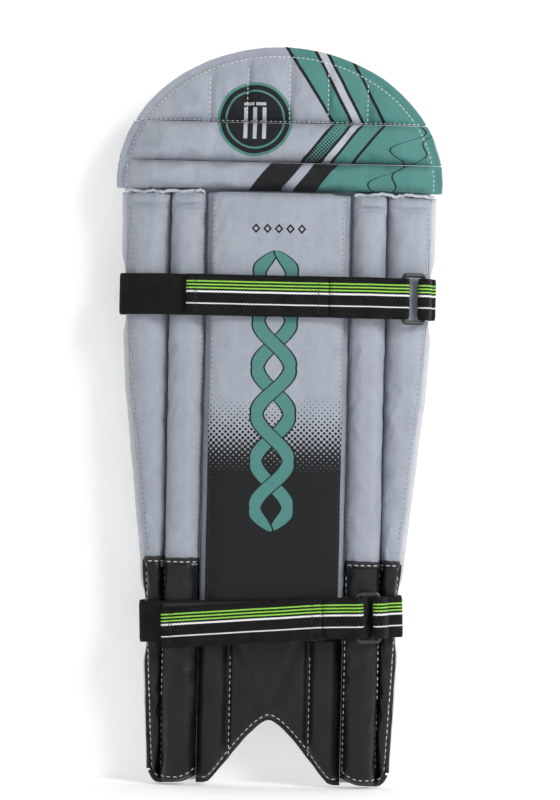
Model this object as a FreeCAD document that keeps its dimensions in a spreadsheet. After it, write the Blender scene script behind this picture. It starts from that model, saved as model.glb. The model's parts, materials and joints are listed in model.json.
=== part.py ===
"""A wicket-keeper's leg pad: quilted knee section, stuffed rolls, centre panel, vinyl instep, two straps.

Row frame: X across the pad, -Y out of the front, +Z up, origin at the middle of the lowest level.
Each wing is drawn flat, in a frame of its own, and turned back about its seam by its pieces' placement.
Every driving size is in the spreadsheet "Dims", in millimetres or degrees.
"""
import math
import os

import FreeCAD, Part
import Sketcher

SIZES = {
    # heights of seams and ends
    "hat_centre": 530, "hat_rise": 120, "hat_half": 144, "top_seam": 583, "mid_seam": 548, "knee_seam": 523,
    "cap_top": 197, "panel_low": 122, "lobe_low": 3, "notch_peak": 67.6, "notch_slope": 1.1,
    "lining_low": 112, "lining_high": 500,
    # across the pad, from its middle line or from a roll's inner seam
    "hinge_x": 64, "inner_wide": 30.2, "outer_top": 40, "outer_strap": 38.5, "outer_cap": 17,
    "outer_low": 7.5, "toe_share": 0.6, "edge_wide": 6, "panel_half": 59, "lining_half": 56,
    # depths
    "roll_deep": 24, "outer_deep": 20, "cane_deep": 11.8, "knee_deep": 22, "hat_deep": 15,
    "instep_deep": 17, "backing": 3, "skin": 1.2, "bolster_deep": 20, "lining_deep": 5,
    "knee_bolster": 18, "bolster_half": 92, "bolster_low": 5, "bolster_in": 4,
    # how far each stretch of a wing is turned back
    "inner_turn": 4, "outer_turn": 12,
    # clearances: between pieces that lie together, and each side of a seam that folds
    "gap": 0.3, "fold_gap": 1, "roll_clear": 1.5,
    # corner radii
    "roll_round": 8, "outer_round": 6, "low_round": 1.5, "panel_round": 4, "notch_round": 17.6,
    "lobe_round": 9,
    # webbing, hook tape and rings
    "strap_wide": 36, "strap_thick": 1.8, "hook_thick": 1.2, "ring_bar": 4, "ring_inside": 14.4,
    "ring_tall": 37.6, "ring_corner": 2.8, "loop_room": 3.4, "tab_end": 8, "tab_reach": 2.5,
    "crease_bend": 4, "shoulder_bend": 5, "rim_bend": 2.5, "hook_inset": 2, "anchor_wide": 20,
    "upper_at": 430, "lower_at": 147, "upper_slant": 0, "lower_slant": 2.2,
    "upper_ring": 54, "lower_ring": 20, "upper_outer": 39.5, "lower_outer": 15.5,
    "peel_at": 45, "upper_tail": 80, "lower_tail": 96,
    # cane rods
    "cane_radius": 5, "cane_step": 12.6, "cane_count": 9,
    # puts the middle of the pad's depth on the row's own Y = 0
    "row_shift": 4.57,
}
MIN_VOLUME = 1.0
SAME = 1e-4

Vector = FreeCAD.Vector
Placement = FreeCAD.Placement
Rotation = FreeCAD.Rotation
doc = FreeCAD.newDocument("LegPad")
sheet = doc.addObject("Spreadsheet::Sheet", "Dims")
for row, (alias, value) in enumerate(SIZES.items(), start=1):
    sheet.set(f"A{row}", alias)
    sheet.set(f"B{row}", str(value))
    sheet.setAlias(f"B{row}", alias)
doc.recompute()

sub_parts = []


class Length(float):
    """A number that also knows how it follows from the spreadsheet, so that it can be bound to it."""

    def __new__(cls, number, text=None):
        made = super().__new__(cls, number)
        made.text = text or repr(float(number))
        return made

    def joined(self, other, sign, number, swapped=False):
        """The number that comes of this and another, with the expression that says so."""
        pair = [f"({self.text})", f"({getattr(other, 'text', other)})"]
        if swapped:
            pair.reverse()
        return Length(number, f" {sign} ".join(pair))

    def __add__(self, other):
        return self.joined(other, "+", float(self) + float(other))

    def __radd__(self, other):
        return self.joined(other, "+", float(self) + float(other), swapped=True)

    def __sub__(self, other):
        return self.joined(other, "-", float(self) - float(other))

    def __rsub__(self, other):
        return self.joined(other, "-", float(other) - float(self), swapped=True)

    def __mul__(self, other):
        return self.joined(other, "*", float(self) * float(other))

    def __rmul__(self, other):
        return self.joined(other, "*", float(self) * float(other), swapped=True)

    def __truediv__(self, other):
        return self.joined(other, "/", float(self) / float(other))

    def __neg__(self):
        return Length(-float(self), f"0 - ({self.text})")


class Dims:
    """Reads the spreadsheet: size.gap is the cell named gap."""

    def __getattr__(self, alias):
        return Length(sheet.get(alias), f"Dims.{alias}")


size = Dims()
ZERO = Length(0)


def bind(target, path, length):
    """Sets a property of an object by an expression on the spreadsheet."""
    target.setExpression(path, length.text)


def sub_part(shape_object, label):
    """Marks an object as a sub-part of the pad: its Label names its file."""
    shape_object.Label = label
    sub_parts.append(shape_object)
    return shape_object


def place(piece, turned_at=None):
    """Puts a flat-drawn piece in the middle of the pad (None), or on a stretch of the wing (inner, outer)."""
    if turned_at is None:
        bind(piece, "Placement.Base.y", size.row_shift)
        return
    piece.Placement = Placement(Vector(), Rotation(Vector(0, 0, 1), 1))
    if turned_at == "inner":
        bind(piece, "Placement.Base.x", size.hinge_x)
        bind(piece, "Placement.Base.y", size.row_shift)
        bind(piece, "Placement.Rotation.Angle", size.inner_turn)
        return
    turn = size.inner_turn.text
    piece.setExpression("Placement.Base.x", f"Dims.hinge_x + Dims.inner_wide * cos({turn} * 1deg)")
    piece.setExpression("Placement.Base.y", f"Dims.row_shift + Dims.inner_wide * sin({turn} * 1deg)")
    bind(piece, "Placement.Rotation.Angle", size.outer_turn)


def along(turn):
    """The direction across the pad of a wing stretch turned back by that many degrees."""
    return Vector(math.cos(math.radians(turn)), math.sin(math.radians(turn)), 0)


def forward(turn):
    """The outward normal at the front of that stretch."""
    return Vector(math.sin(math.radians(turn)), -math.cos(math.radians(turn)), 0)


def inner_seam():
    """Where the inner roll meets the outer one, in plan."""
    return Vector(size.hinge_x, 0, 0) + along(size.inner_turn) * size.inner_wide


def outline_sketch(body, outline, plane, start):
    """A closed sketch of straight lines whose every corner is bound to the spreadsheet."""
    sketch = body.newObject("Sketcher::SketchObject", f"{body.Name}_outline")
    origin_plane = [f for f in body.Origin.OriginFeatures if f.Role == plane][0]
    sketch.AttachmentSupport = [(origin_plane, "")]
    sketch.MapMode = "FlatFace"
    bind(sketch, "AttachmentOffset.Base.z", start)
    corners = [Vector(x, y, 0) for x, y in outline]
    count = len(corners)
    for i in range(count):
        sketch.addGeometry(Part.LineSegment(corners[i], corners[(i + 1) % count]), False)
    for i in range(count):
        sketch.addConstraint(Sketcher.Constraint("Coincident", i, 2, (i + 1) % count, 1))
    for i, corner_lengths in enumerate(outline):
        for kind, length in zip(("DistanceX", "DistanceY"), corner_lengths):
            index = sketch.addConstraint(Sketcher.Constraint(kind, -1, 1, i, 1, float(length)))
            bind(sketch, f"Constraints[{index}]", length)
    return sketch


def prism(name, outline, start, length, plane="XZ_Plane", backwards=False, turned_at=None):
    """A body padded from an outline: forward from XZ_Plane, or upward from XY_Plane, unless backwards."""
    body = doc.addObject("PartDesign::Body", name)
    sketch = outline_sketch(body, outline, plane, start)
    pad = body.newObject("PartDesign::Pad", f"{name}_pad")
    pad.Profile = sketch
    bind(pad, "Length", length)
    pad.Reversed = backwards
    place(body, turned_at)
    doc.recompute()
    return body


def round_off(body, radius, chosen):
    """Fillets the edges of a body that the chosen test picks by their middle and direction."""
    tip = body.Tip
    names = []
    for i, edge in enumerate(tip.Shape.Edges, start=1):
        middle = edge.valueAt((edge.FirstParameter + edge.LastParameter) / 2)
        direction = edge.tangentAt(edge.FirstParameter)
        if chosen(middle, direction):
            names.append(f"Edge{i}")
    fillet = body.newObject("PartDesign::Fillet", f"{body.Name}_round")
    fillet.Base = (tip, names)
    bind(fillet, "Radius", radius)
    doc.recompute()
    return body


def front_uprights(depth):
    """Picks the near-upright edges at that depth in front of the backing."""
    return lambda middle, direction: abs(middle.y + depth) < SAME and abs(direction.z) > 0.9


def cut(name, base, tool):
    """A Part::Cut of one object by another."""
    made = doc.addObject("Part::Cut", name)
    made.Base = base
    made.Tool = tool
    return made


def common(name, *shapes):
    """A Part::MultiCommon of several objects."""
    made = doc.addObject("Part::MultiCommon", name)
    made.Shapes = list(shapes)
    return made


def box(name, corner, lengths):
    """A Part::Box whose corner and lengths are expressions, in the middle's own frame."""
    made = doc.addObject("Part::Box", name)
    for axis, length in zip("xyz", corner):
        bind(made, f"Placement.Base.{axis}", length)
    for side, length in zip(("Length", "Width", "Height"), lengths):
        bind(made, side, length)
    return made


# ---------------------------------------------------------------- middle of the shin


def rectangle(half, low, high):
    """An outline of a rectangle about the middle line."""
    return [(-half, low), (half, low), (half, high), (-half, high)]


def notched(inset, top):
    """The instep outline: a rectangle with the arch for the foot cut from its lower edge."""
    side = size.hinge_x - size.gap - inset
    peak = size.notch_peak + inset * 1.5
    foot = (size.notch_peak - size.lobe_low + inset * 0.5) / size.notch_slope
    low = size.lobe_low + inset
    right = [(foot, low), (side, low), (side, top)]
    left = [(-x, z) for x, z in reversed(right)]
    return right + left + [(ZERO, peak)]


def build_instep():
    """The vinyl instep: a shell with foam inside, arched over the foot."""
    names = {"solid": ZERO, "hollow": size.skin, "foam": (size.skin + size.gap)}
    bodies = {}
    for role, inset in names.items():
        top = size.panel_low - size.gap - inset
        length = size.instep_deep - 2 * inset
        body = prism(f"instep_{role}", notched(inset, top), inset, length)
        peak = size.notch_peak + inset * 1.5
        low = size.lobe_low + inset
        side = size.hinge_x - size.gap - inset

        def at_peak(middle, direction):
            return abs(direction.y) > 0.9 and abs(middle.z - peak) < SAME

        def at_foot(middle, direction):
            return abs(direction.y) > 0.9 and abs(middle.z - low) < SAME and abs(middle.x) < side - 1

        round_off(body, size.notch_round, at_peak)
        round_off(body, size.lobe_round / 2, at_foot)
        bodies[role] = body
    sub_part(cut("instep_shell", bodies["solid"], bodies["hollow"]), "instep_cover")
    sub_part(bodies["foam"], "instep_foam")


def build_centre_panel():
    """The raised graphic panel: a shell round a foam sheet, in front of the cane pocket."""
    start = size.cane_deep + size.gap
    deep = size.roll_deep - size.cane_deep - size.gap
    bodies = {}
    for role, inset in {"solid": ZERO, "hollow": size.skin, "foam": (size.skin + size.gap)}.items():
        half = size.panel_half - inset
        low = size.panel_low + inset
        high = size.knee_seam - size.gap - inset
        name = f"panel_{role}"
        bodies[role] = prism(name, rectangle(half, low, high), start + inset, deep - 2 * inset)
    round_off(bodies["solid"], size.panel_round, front_uprights(size.roll_deep))
    sub_part(cut("panel_shell", bodies["solid"], bodies["hollow"]), "centre_panel_cover")
    sub_part(bodies["foam"], "centre_panel_foam")


def build_cane_pocket():
    """The pocket behind the panel, and the row of cane rods that stiffens the shin."""
    half = size.hinge_x - size.gap
    low = size.panel_low
    high = size.knee_seam - size.gap
    deep = size.cane_deep
    solid = prism("pocket_solid", rectangle(half, low, high), ZERO, deep)
    inside = rectangle(half - size.skin / 2, low + size.skin / 2, high - size.skin / 2)
    hollow = prism("pocket_hollow", inside, size.skin / 2, deep - size.skin)
    sub_part(cut("pocket_shell", solid, hollow), "cane_pocket")
    count = int(size.cane_count)
    rods = []
    for i in range(count):
        rod = doc.addObject("Part::Cylinder", f"cane_{i + 1}")
        bind(rod, "Radius", size.cane_radius)
        bind(rod, "Height", size.knee_seam - size.panel_low - 2 * size.skin - size.gap)
        bind(rod, "Placement.Base.x", (i - (size.cane_count - 1) / 2) * size.cane_step)
        bind(rod, "Placement.Base.y", size.row_shift - size.cane_deep / 2)
        bind(rod, "Placement.Base.z", size.panel_low + size.skin)
        rods.append(rod)
    bundle = doc.addObject("Part::Compound", "cane_bundle")
    bundle.Links = rods
    sub_part(bundle, "cane_rods")


def build_middle_back():
    """The backing cloth of the middle and the quilted lining that lies on the shin."""
    low = size.lobe_low + size.skin
    body = prism(
        "middle_cloth",
        [
            ((size.notch_peak - size.lobe_low) / size.notch_slope + 2, low),
            (size.hinge_x - size.fold_gap, low),
            (size.hinge_x - size.fold_gap, size.knee_seam - size.fold_gap),
            (-(size.hinge_x - size.fold_gap), size.knee_seam - size.fold_gap),
            (-(size.hinge_x - size.fold_gap), low),
            (-((size.notch_peak - size.lobe_low) / size.notch_slope + 2), low),
            (ZERO, size.notch_peak + 2),
        ],
        ZERO,
        size.backing,
        backwards=True,
    )
    peak = size.notch_peak + 2

    def at_peak(middle, direction):
        return abs(direction.y) > 0.9 and abs(middle.z - peak) < SAME

    sub_part(round_off(body, size.notch_round, at_peak), "middle_backing")
    outline = rectangle(size.lining_half, size.lining_low, size.lining_high)
    lining = prism("lining", outline, -(size.backing + size.gap), size.lining_deep, backwards=True)
    sub_part(lining, "shin_lining")


# ---------------------------------------------------------------- wings


def inner_outline(low, high, inset):
    """The inner roll, flat: an upright rectangle."""
    near = size.gap + inset
    far = size.inner_wide - size.gap - inset
    return [(near, low), (far, low), (far, high), (near, high)]


def outer_outline_high(low, high, inset):
    """The outer roll above its vinyl cap, flat: it widens towards the knee."""
    near = size.gap + inset
    return [
        (near, low),
        (size.outer_cap - inset, low),
        (size.outer_strap - inset, size.upper_at),
        (size.outer_top - inset, high),
        (near, high),
    ]


def outer_outline_low(low, high, inset):
    """The outer roll inside its vinyl cap, flat, with its lower corner sloped off."""
    near = size.gap + inset
    return [
        (near, low),
        (size.outer_low * size.toe_share - inset, low),
        (size.outer_low - inset, low + size.lobe_round),
        (size.outer_cap - inset, high),
        (near, high),
    ]


def outer_core_outline(low, high, inset):
    """The whole outer roll's stuffing, from toe to knee."""
    near = size.gap + inset
    return [
        (near, low),
        (size.outer_low * size.toe_share - inset, low),
        (size.outer_low - inset, low + size.lobe_round),
        (size.outer_cap - inset, size.cap_top),
        (size.outer_strap - inset, size.upper_at),
        (size.outer_top - inset, high),
        (near, high),
    ]


def build_roll(kind, deep, rounding, high_outline, low_outline, core_outline, foot):
    """One stuffed roll of the right wing: a cloth cover, a vinyl cap below it and one core through both."""
    top = size.knee_seam - size.roll_clear
    skin = size.skin
    room = size.skin + size.gap
    inside = prism(
        f"{kind}_hollow", core_outline(foot + skin, top - skin, skin), skin,
        deep - 2 * skin, turned_at=kind,
    )
    core = prism(
        f"{kind}_core", core_outline(foot + room, top - room, room), room,
        deep - 2 * room, turned_at=kind,
    )
    high = prism(f"{kind}_high", high_outline(size.cap_top, top, ZERO), ZERO, deep, turned_at=kind)
    round_off(high, rounding, front_uprights(deep))
    low = prism(f"{kind}_low", low_outline(foot, size.cap_top, ZERO), ZERO, deep, turned_at=kind)
    round_off(low, size.low_round, front_uprights(deep))
    return {
        f"{kind}_roll_cover": cut(f"{kind}_high_shell", high, inside),
        f"{kind}_roll_core": core,
        f"{kind}_vinyl_cap": cut(f"{kind}_low_shell", low, inside),
    }


def build_wing_backing():
    """The cloth behind both rolls of a wing, creased where they meet."""
    inner = prism(
        "inner_cloth",
        [
            (size.fold_gap, size.lobe_low),
            (size.inner_wide, size.lobe_low),
            (size.inner_wide, size.knee_seam - size.fold_gap),
            (size.fold_gap, size.knee_seam - size.fold_gap),
        ],
        ZERO, size.backing, backwards=True, turned_at="inner",
    )
    outer = prism(
        "outer_cloth",
        [
            (ZERO, size.lobe_low),
            (size.outer_low * size.toe_share, size.lobe_low),
            (size.outer_low, size.lobe_low + size.lobe_round),
            (size.outer_cap, size.cap_top),
            (size.outer_strap, size.upper_at),
            (size.outer_top, size.knee_seam - size.fold_gap),
            (ZERO, size.knee_seam - size.fold_gap),
        ],
        ZERO, size.backing, backwards=True, turned_at="outer",
    )
    cloth = doc.addObject("Part::MultiFuse", "wing_cloth")
    cloth.Shapes = [inner, outer]
    return cloth


def build_edge_binding():
    """The folded tape along a wing's outer edge."""
    far = [size.outer_low, size.outer_cap, size.outer_strap, size.outer_top]
    heights = [size.lobe_low + size.lobe_round, size.cap_top, size.upper_at, size.knee_seam - size.fold_gap]
    near_side = [(x + size.gap / 2, z) for x, z in zip(far, heights)]
    far_side = [(x + size.edge_wide, z) for x, z in zip(far, heights)]
    outline = near_side[:1] + far_side + near_side[:0:-1]
    return prism("edge_tape", outline, ZERO, size.backing, backwards=True, turned_at="outer")


def build_bolster():
    """The wadded bolster behind the inner roll that fills in beside the shin bone."""
    made = {}
    for role, inset in {"solid": ZERO, "hollow": size.skin, "wad": size.skin + size.gap}.items():
        near = size.bolster_in + inset
        far = size.inner_wide - inset
        low = size.lining_low + inset
        high = size.lining_high - inset
        made[role] = prism(
            f"bolster_{role}", [(near, low), (far, low), (far, high), (near, high)],
            -(size.backing + size.gap + inset), size.bolster_deep - 2 * inset,
            backwards=True, turned_at="inner",
        )
    back = size.backing + size.gap + size.bolster_deep
    round_off(made["solid"], size.roll_round, front_uprights(-back))
    return {
        "bolster_cover": cut("bolster_shell", made["solid"], made["hollow"]),
        "bolster_wadding": made["wad"],
    }


def build_wings():
    """Both wings: the right one as drawn, the left one mirrored."""
    pieces = {}
    pieces.update(
        build_roll(
            "inner", size.roll_deep, size.roll_round, inner_outline, inner_outline, inner_outline, ZERO,
        )
    )
    pieces.update(
        build_roll(
            "outer", size.outer_deep, size.outer_round, outer_outline_high, outer_outline_low,
            outer_core_outline, size.lobe_low,
        )
    )
    pieces.update(build_bolster())
    pieces["wing_backing"] = build_wing_backing()
    pieces["edge_binding"] = build_edge_binding()
    for label, piece in pieces.items():
        sub_part(piece, f"right_{label}")
        mirror = doc.addObject("Part::Mirroring", f"left_{label}")
        mirror.Source = piece
        mirror.Normal = Vector(1, 0, 0)
        sub_part(mirror, f"left_{label}")


# ---------------------------------------------------------------- knee section


def domed(name, inset, front, back):
    """The dome's outline, taken in by inset, carried from front (forwards) to back (backwards)."""
    curve = doc.addObject("Part::Ellipse", f"{name}_curve")
    bind(curve, "MajorRadius", size.hat_half - inset)
    bind(curve, "MinorRadius", size.hat_rise - inset)
    curve.Placement = Placement(Vector(), Rotation(Vector(1, 0, 0), 90))
    bind(curve, "Placement.Base.y", size.row_shift)
    bind(curve, "Placement.Base.z", size.hat_centre)
    solid = doc.addObject("Part::Extrusion", f"{name}_domed")
    solid.Base = curve
    solid.DirMode = "Custom"
    solid.Dir = Vector(0, -1, 0)
    bind(solid, "LengthFwd", front)
    bind(solid, "LengthRev", back)
    solid.Solid = True
    return solid


def dome_row(name, inset, front, back, low, high):
    """The stretch of the dome between two heights."""
    slab = box(
        f"{name}_slab",
        (-size.hat_half, size.row_shift - size.knee_deep * 2, low),
        (size.hat_half * 2, size.knee_deep * 4, high - low),
    )
    return common(name, domed(name, inset, front, back), slab)


def quilted_row(label, deep, low, high):
    """One quilted row of the knee section: a cover over its stuffing, set in from the dome's edge."""
    rim = size.edge_wide
    skin = size.skin
    room = size.skin + size.gap
    bottom = low + size.gap
    top = high - size.gap
    solid = dome_row(f"{label}_solid", rim, deep, ZERO, bottom, top)
    hollow = dome_row(f"{label}_hollow", rim + skin, deep - skin, -skin, bottom + skin, top - skin)
    core = dome_row(f"{label}_stuffing", rim + room, deep - room, -room, bottom + room, top - room)
    sub_part(cut(f"{label}_shell", solid, hollow), f"{label}_cover")
    sub_part(core, f"{label}_core")


def build_knee():
    """The three quilted rows that cover the knee, the tape round the top one and the bolster behind."""
    seams = {"lower_knee_roll": ("knee", "mid"), "upper_knee_roll": ("mid", "top")}
    for label, (below, above) in seams.items():
        low = getattr(size, f"{below}_seam")
        high = getattr(size, f"{above}_seam")
        quilted_row(label, size.knee_deep, low, high)
        cloth = dome_row(
            f"{label}_cloth", ZERO, ZERO, size.backing, low + size.fold_gap, high - size.fold_gap,
        )
        sub_part(cloth, f"{label}_backing")
    crown = size.hat_centre + size.hat_rise
    quilted_row("top_hat", size.hat_deep, size.top_seam, crown)
    foot = size.top_seam + size.fold_gap
    whole = dome_row("hat_whole", ZERO, ZERO, size.backing, foot, crown)
    middle = dome_row("hat_middle", size.edge_wide, ZERO, size.backing, foot - size.edge_wide, crown)
    sub_part(cut("hat_tape", whole, middle), "top_hat_binding")
    cloth = dome_row("hat_cloth", size.edge_wide + size.gap, ZERO, size.backing, foot, crown)
    sub_part(cloth, "top_hat_backing")
    bolster = box(
        "knee_bolster_box",
        (-size.bolster_half, size.row_shift + size.backing + size.gap, size.mid_seam + size.bolster_low),
        (size.bolster_half * 2, size.knee_bolster, size.top_seam - size.mid_seam - size.bolster_low * 2),
    )
    doc.recompute()
    rounded = doc.addObject("Part::Fillet", "knee_bolster_rounded")
    rounded.Base = bolster
    back = size.row_shift + size.backing + size.gap + size.knee_bolster
    rims = []
    for i, edge in enumerate(bolster.Shape.Edges, start=1):
        if all(abs(corner_point.Point.y - back) < SAME for corner_point in edge.Vertexes):
            rims.append((i, float(size.roll_round), float(size.roll_round)))
    rounded.Edges = rims
    sub_part(rounded, "knee_bolster")


# ---------------------------------------------------------------- straps and rings


def offset_path(points, distance):
    """The points moved sideways by distance, to the left of the way they run, with mitred corners."""
    moved = []
    for i, (x, y, radius) in enumerate(points):
        before = Vector(x, y, 0) - Vector(*points[i - 1][:2], 0) if i else None
        after = Vector(*points[i + 1][:2], 0) - Vector(x, y, 0) if i + 1 < len(points) else None
        first = (before or after).normalize()
        second = (after or before).normalize()
        left = Vector(-first.y, first.x, 0)
        other = Vector(-second.y, second.x, 0)
        mitre = (left + other) * (distance / (1 + left.dot(other)))
        turn = first.cross(second).z
        grown = radius - distance * math.copysign(1, turn) if abs(turn) > SAME and radius else 0
        moved.append((x + mitre.x, y + mitre.y, max(grown, 0)))
    return moved


def rounded_edges(points):
    """Straight edges through the points, joined by tangent arcs of each point's radius."""
    edges = []
    cursor = Vector(*points[0][:2], 0)
    for i in range(1, len(points) - 1):
        corner = Vector(*points[i][:2], 0)
        back = (Vector(*points[i - 1][:2], 0) - corner).normalize()
        on = (Vector(*points[i + 1][:2], 0) - corner).normalize()
        half = back.getAngle(on) / 2
        radius = points[i][2]
        if radius < SAME or abs(half - math.pi / 2) < SAME:
            edges.append(Part.LineSegment(cursor, corner).toShape())
            cursor = corner
            continue
        reach = radius / math.tan(half)
        start = corner + back * reach
        end = corner + on * reach
        bisector = (back + on).normalize()
        middle = corner + bisector * (radius / math.sin(half) - radius)
        if (start - cursor).Length > SAME:
            edges.append(Part.LineSegment(cursor, start).toShape())
        edges.append(Part.Arc(start, middle, end).toShape())
        cursor = end
    edges.append(Part.LineSegment(cursor, Vector(*points[-1][:2], 0)).toShape())
    return edges


def webbing(label, points, which, mirrored=False):
    """A piece of strap: the plan path thickened to the webbing and raised to its width, at its slant."""
    half = size.strap_thick / 2
    left = rounded_edges(offset_path(points, half))
    right = rounded_edges(offset_path(points, -half))
    caps = [
        Part.LineSegment(left[0].Vertexes[0].Point, right[0].Vertexes[0].Point).toShape(),
        Part.LineSegment(left[-1].Vertexes[-1].Point, right[-1].Vertexes[-1].Point).toShape(),
    ]
    face = Part.Face(Part.Wire(Part.sortEdges(left + right + caps)[0]))
    solid = face.extrude(Vector(0, 0, size.strap_wide))
    solid.translate(Vector(0, 0, -size.strap_wide / 2))
    if mirrored:
        solid = solid.mirror(Vector(0, 0, 0), Vector(1, 0, 0))
    return strap_piece(label, solid, which)


def strap_piece(label, solid, which):
    """Puts a solid drawn about the strap's middle line in place, at that strap's height and slant."""
    made = doc.addObject("Part::Feature", label)
    made.Shape = solid
    height = getattr(size, f"{which}_at")
    slant = Rotation(Vector(0, 1, 0), -getattr(size, f"{which}_slant"))
    made.Placement = Placement(Vector(0, size.row_shift, height), slant) * solid.Placement
    return sub_part(made, label)


class StrapRoute:
    """Plan points of one strap on the right wing, drawn about the middle of the webbing's thickness."""

    def __init__(self, which):
        self.outer = getattr(size, f"{which}_outer")
        self.lift = size.roll_deep + size.gap + size.strap_thick / 2
        low = size.outer_deep + size.gap + size.strap_thick / 2
        behind = -(size.backing + size.gap + size.strap_thick / 2)
        side = self.outer + size.edge_wide + size.gap + size.strap_thick
        seam = inner_seam()
        self.start = Vector(size.hinge_x + size.fold_gap, -self.lift, 0)
        self.crease = seam + forward(size.inner_turn) * self.lift
        self.shoulder = self.on_outer(self.outer + size.gap + size.strap_thick / 2, low)
        self.rim_front = self.on_outer(side, size.edge_wide)
        self.rim_back = self.on_outer(side, behind)
        self.end = self.on_outer(size.gap + size.strap_thick, behind)

    @staticmethod
    def on_outer(across, out):
        """A plan point given across and out from the outer wing's backing."""
        return inner_seam() + along(size.outer_turn) * across + forward(size.outer_turn) * out

    def ring_frame(self, distance):
        """Point, direction and outward normal on the front line, that far from the hinge."""
        first = self.crease - self.start
        second = self.shoulder - self.crease
        if distance < first.Length:
            direction = Vector(first).normalize()
            point = self.start + direction * distance
        else:
            direction = Vector(second).normalize()
            point = self.crease + direction * (distance - first.Length)
        return point, direction, Vector(direction.y, -direction.x, 0)


def corner(point, radius=0.0):
    """A plan point with the radius of the bend there."""
    return (point.x, point.y, radius)


def build_strap(which):
    """One strap done up across the front: its runs, its fold round the ring, its tail, tab and ring."""
    route = StrapRoute(which)
    rise = size.loop_room + size.strap_thick / 2
    layer = size.strap_thick + size.hook_thick + 2 * size.gap
    bar = size.ring_inside / 2 + size.ring_bar / 2
    point, ahead, out = route.ring_frame(getattr(size, f"{which}_ring"))
    on_front = point.x > route.crease.x
    bend = size.loop_room
    tip = getattr(size, f"{which}_tail")
    edge = size.hinge_x - size.fold_gap

    wrap = [route.start, route.crease, route.shoulder, route.rim_front, route.rim_back, route.end]
    radii = [0, size.crease_bend, size.shoulder_bend, size.crease_bend, size.rim_bend, 0]
    webbing(f"{which}_strap_left", [corner(p, r) for p, r in zip(wrap, radii)], which, mirrored=True)
    webbing(f"{which}_strap_middle", [(-edge, -route.lift, 0), (edge, -route.lift, 0)], which)
    webbing(
        f"{which}_strap_fold_run",
        [(size.peel_at + size.gap, -route.lift - layer, 0), (edge, -route.lift - layer, 0)],
        which,
    )
    near = point - ahead * bar
    turn = near + ahead * rise
    lead = [corner(route.start)] + ([corner(route.crease, size.crease_bend)] if on_front else [])
    webbing(
        f"{which}_strap_right",
        lead + [
            corner(turn, rise - SAME),
            corner(turn + out * (2 * rise), rise - SAME),
            corner(near + out * (2 * rise) - ahead, bend),
            (route.start.x, route.start.y - layer, 0),
        ],
        which,
    )
    far = point + ahead * bar
    back_turn = far - ahead * rise
    rest = wrap[2:] if on_front else wrap[1:]
    rest_radii = radii[2:] if on_front else radii[1:]
    tab_tip = far + ahead * size.tab_end + out * (size.strap_thick + size.gap)
    webbing(
        f"{which}_tab",
        [
            corner(tab_tip),
            corner(far + out * (2 * rise) + ahead * size.tab_reach, bend),
            corner(back_turn + out * (2 * rise), rise - SAME),
            corner(back_turn, rise - SAME),
        ] + [corner(p, r) for p, r in zip(rest, rest_radii)],
        which,
    )
    build_ring(which, point + out * rise, ahead)
    tail_y = -route.lift - layer
    webbing(f"{which}_tail", [(-tip, tail_y, 0), (size.peel_at - size.gap, tail_y, 0)], which)
    inset = size.hook_inset
    hook = Part.makeBox(
        tip + size.peel_at - 2 * inset, size.hook_thick, size.strap_wide - 2 * inset,
        Vector(inset - tip, tail_y + size.strap_thick / 2 + size.gap / 2, inset - size.strap_wide / 2),
    )
    strap_piece(f"{which}_hook_patch", hook, which)


def build_ring(which, centre, ahead):
    """The moulded ring: a round bar bent to an upright oblong."""
    half_wide = size.ring_inside / 2 + size.ring_bar / 2
    half_tall = size.ring_tall / 2 + size.ring_bar / 2
    radius = size.ring_corner
    loop = [
        (0, half_tall, 0), (half_wide, half_tall, radius), (half_wide, -half_tall, radius),
        (-half_wide, -half_tall, radius), (-half_wide, half_tall, radius), (0, half_tall, 0),
    ]
    path = Part.Wire(rounded_edges(loop))
    start = Vector(0, half_tall, 0)
    section = Part.Wire(Part.Circle(start, Vector(1, 0, 0), size.ring_bar / 2).toShape())
    ring = path.makePipeShell([section], True, False)
    turn = math.degrees(math.atan2(ahead.y, ahead.x))
    upright = Rotation(Vector(0, 0, 1), turn) * Rotation(Vector(1, 0, 0), 90)
    ring.transformShape(Placement(centre, upright).toMatrix(), True)
    strap_piece(f"{which}_ring", ring, which)


def build_anchors():
    """The stitched-down patches that hold the strap ends to the back of each wing: two on each side."""
    behind = size.backing + 3 * size.gap + size.strap_thick
    solids = []
    for which in ("upper", "lower"):
        wide = min(size.anchor_wide, getattr(size, f"{which}_outer") - 2)
        patch = Part.makeBox(wide, size.strap_thick, size.strap_wide)
        patch.translate(Vector(size.strap_thick + 1, behind, -size.strap_wide / 2))
        frame = Placement(inner_seam(), Rotation(Vector(0, 0, 1), size.outer_turn))
        patch = patch.transformGeometry(frame.toMatrix())
        solids.append((which, patch))
    for side in ("left", "right"):
        placed = []
        for which, patch in solids:
            sign = -1 if side == "left" else 1
            solid = patch.mirror(Vector(0, 0, 0), Vector(1, 0, 0)) if side == "left" else patch.copy()
            slant = Rotation(Vector(0, 1, 0), -getattr(size, f"{which}_slant"))
            middle = Vector(sign * inner_seam().x, 0, 0)
            lift = slant.multVec(middle).z
            solid.translate(Vector(0, size.row_shift, getattr(size, f"{which}_at") + lift))
            placed.append(solid)
        made = doc.addObject("Part::Feature", f"{side}_anchors")
        made.Shape = Part.makeCompound(placed)
        sub_part(made, f"{side}_anchor_patches")


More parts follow.
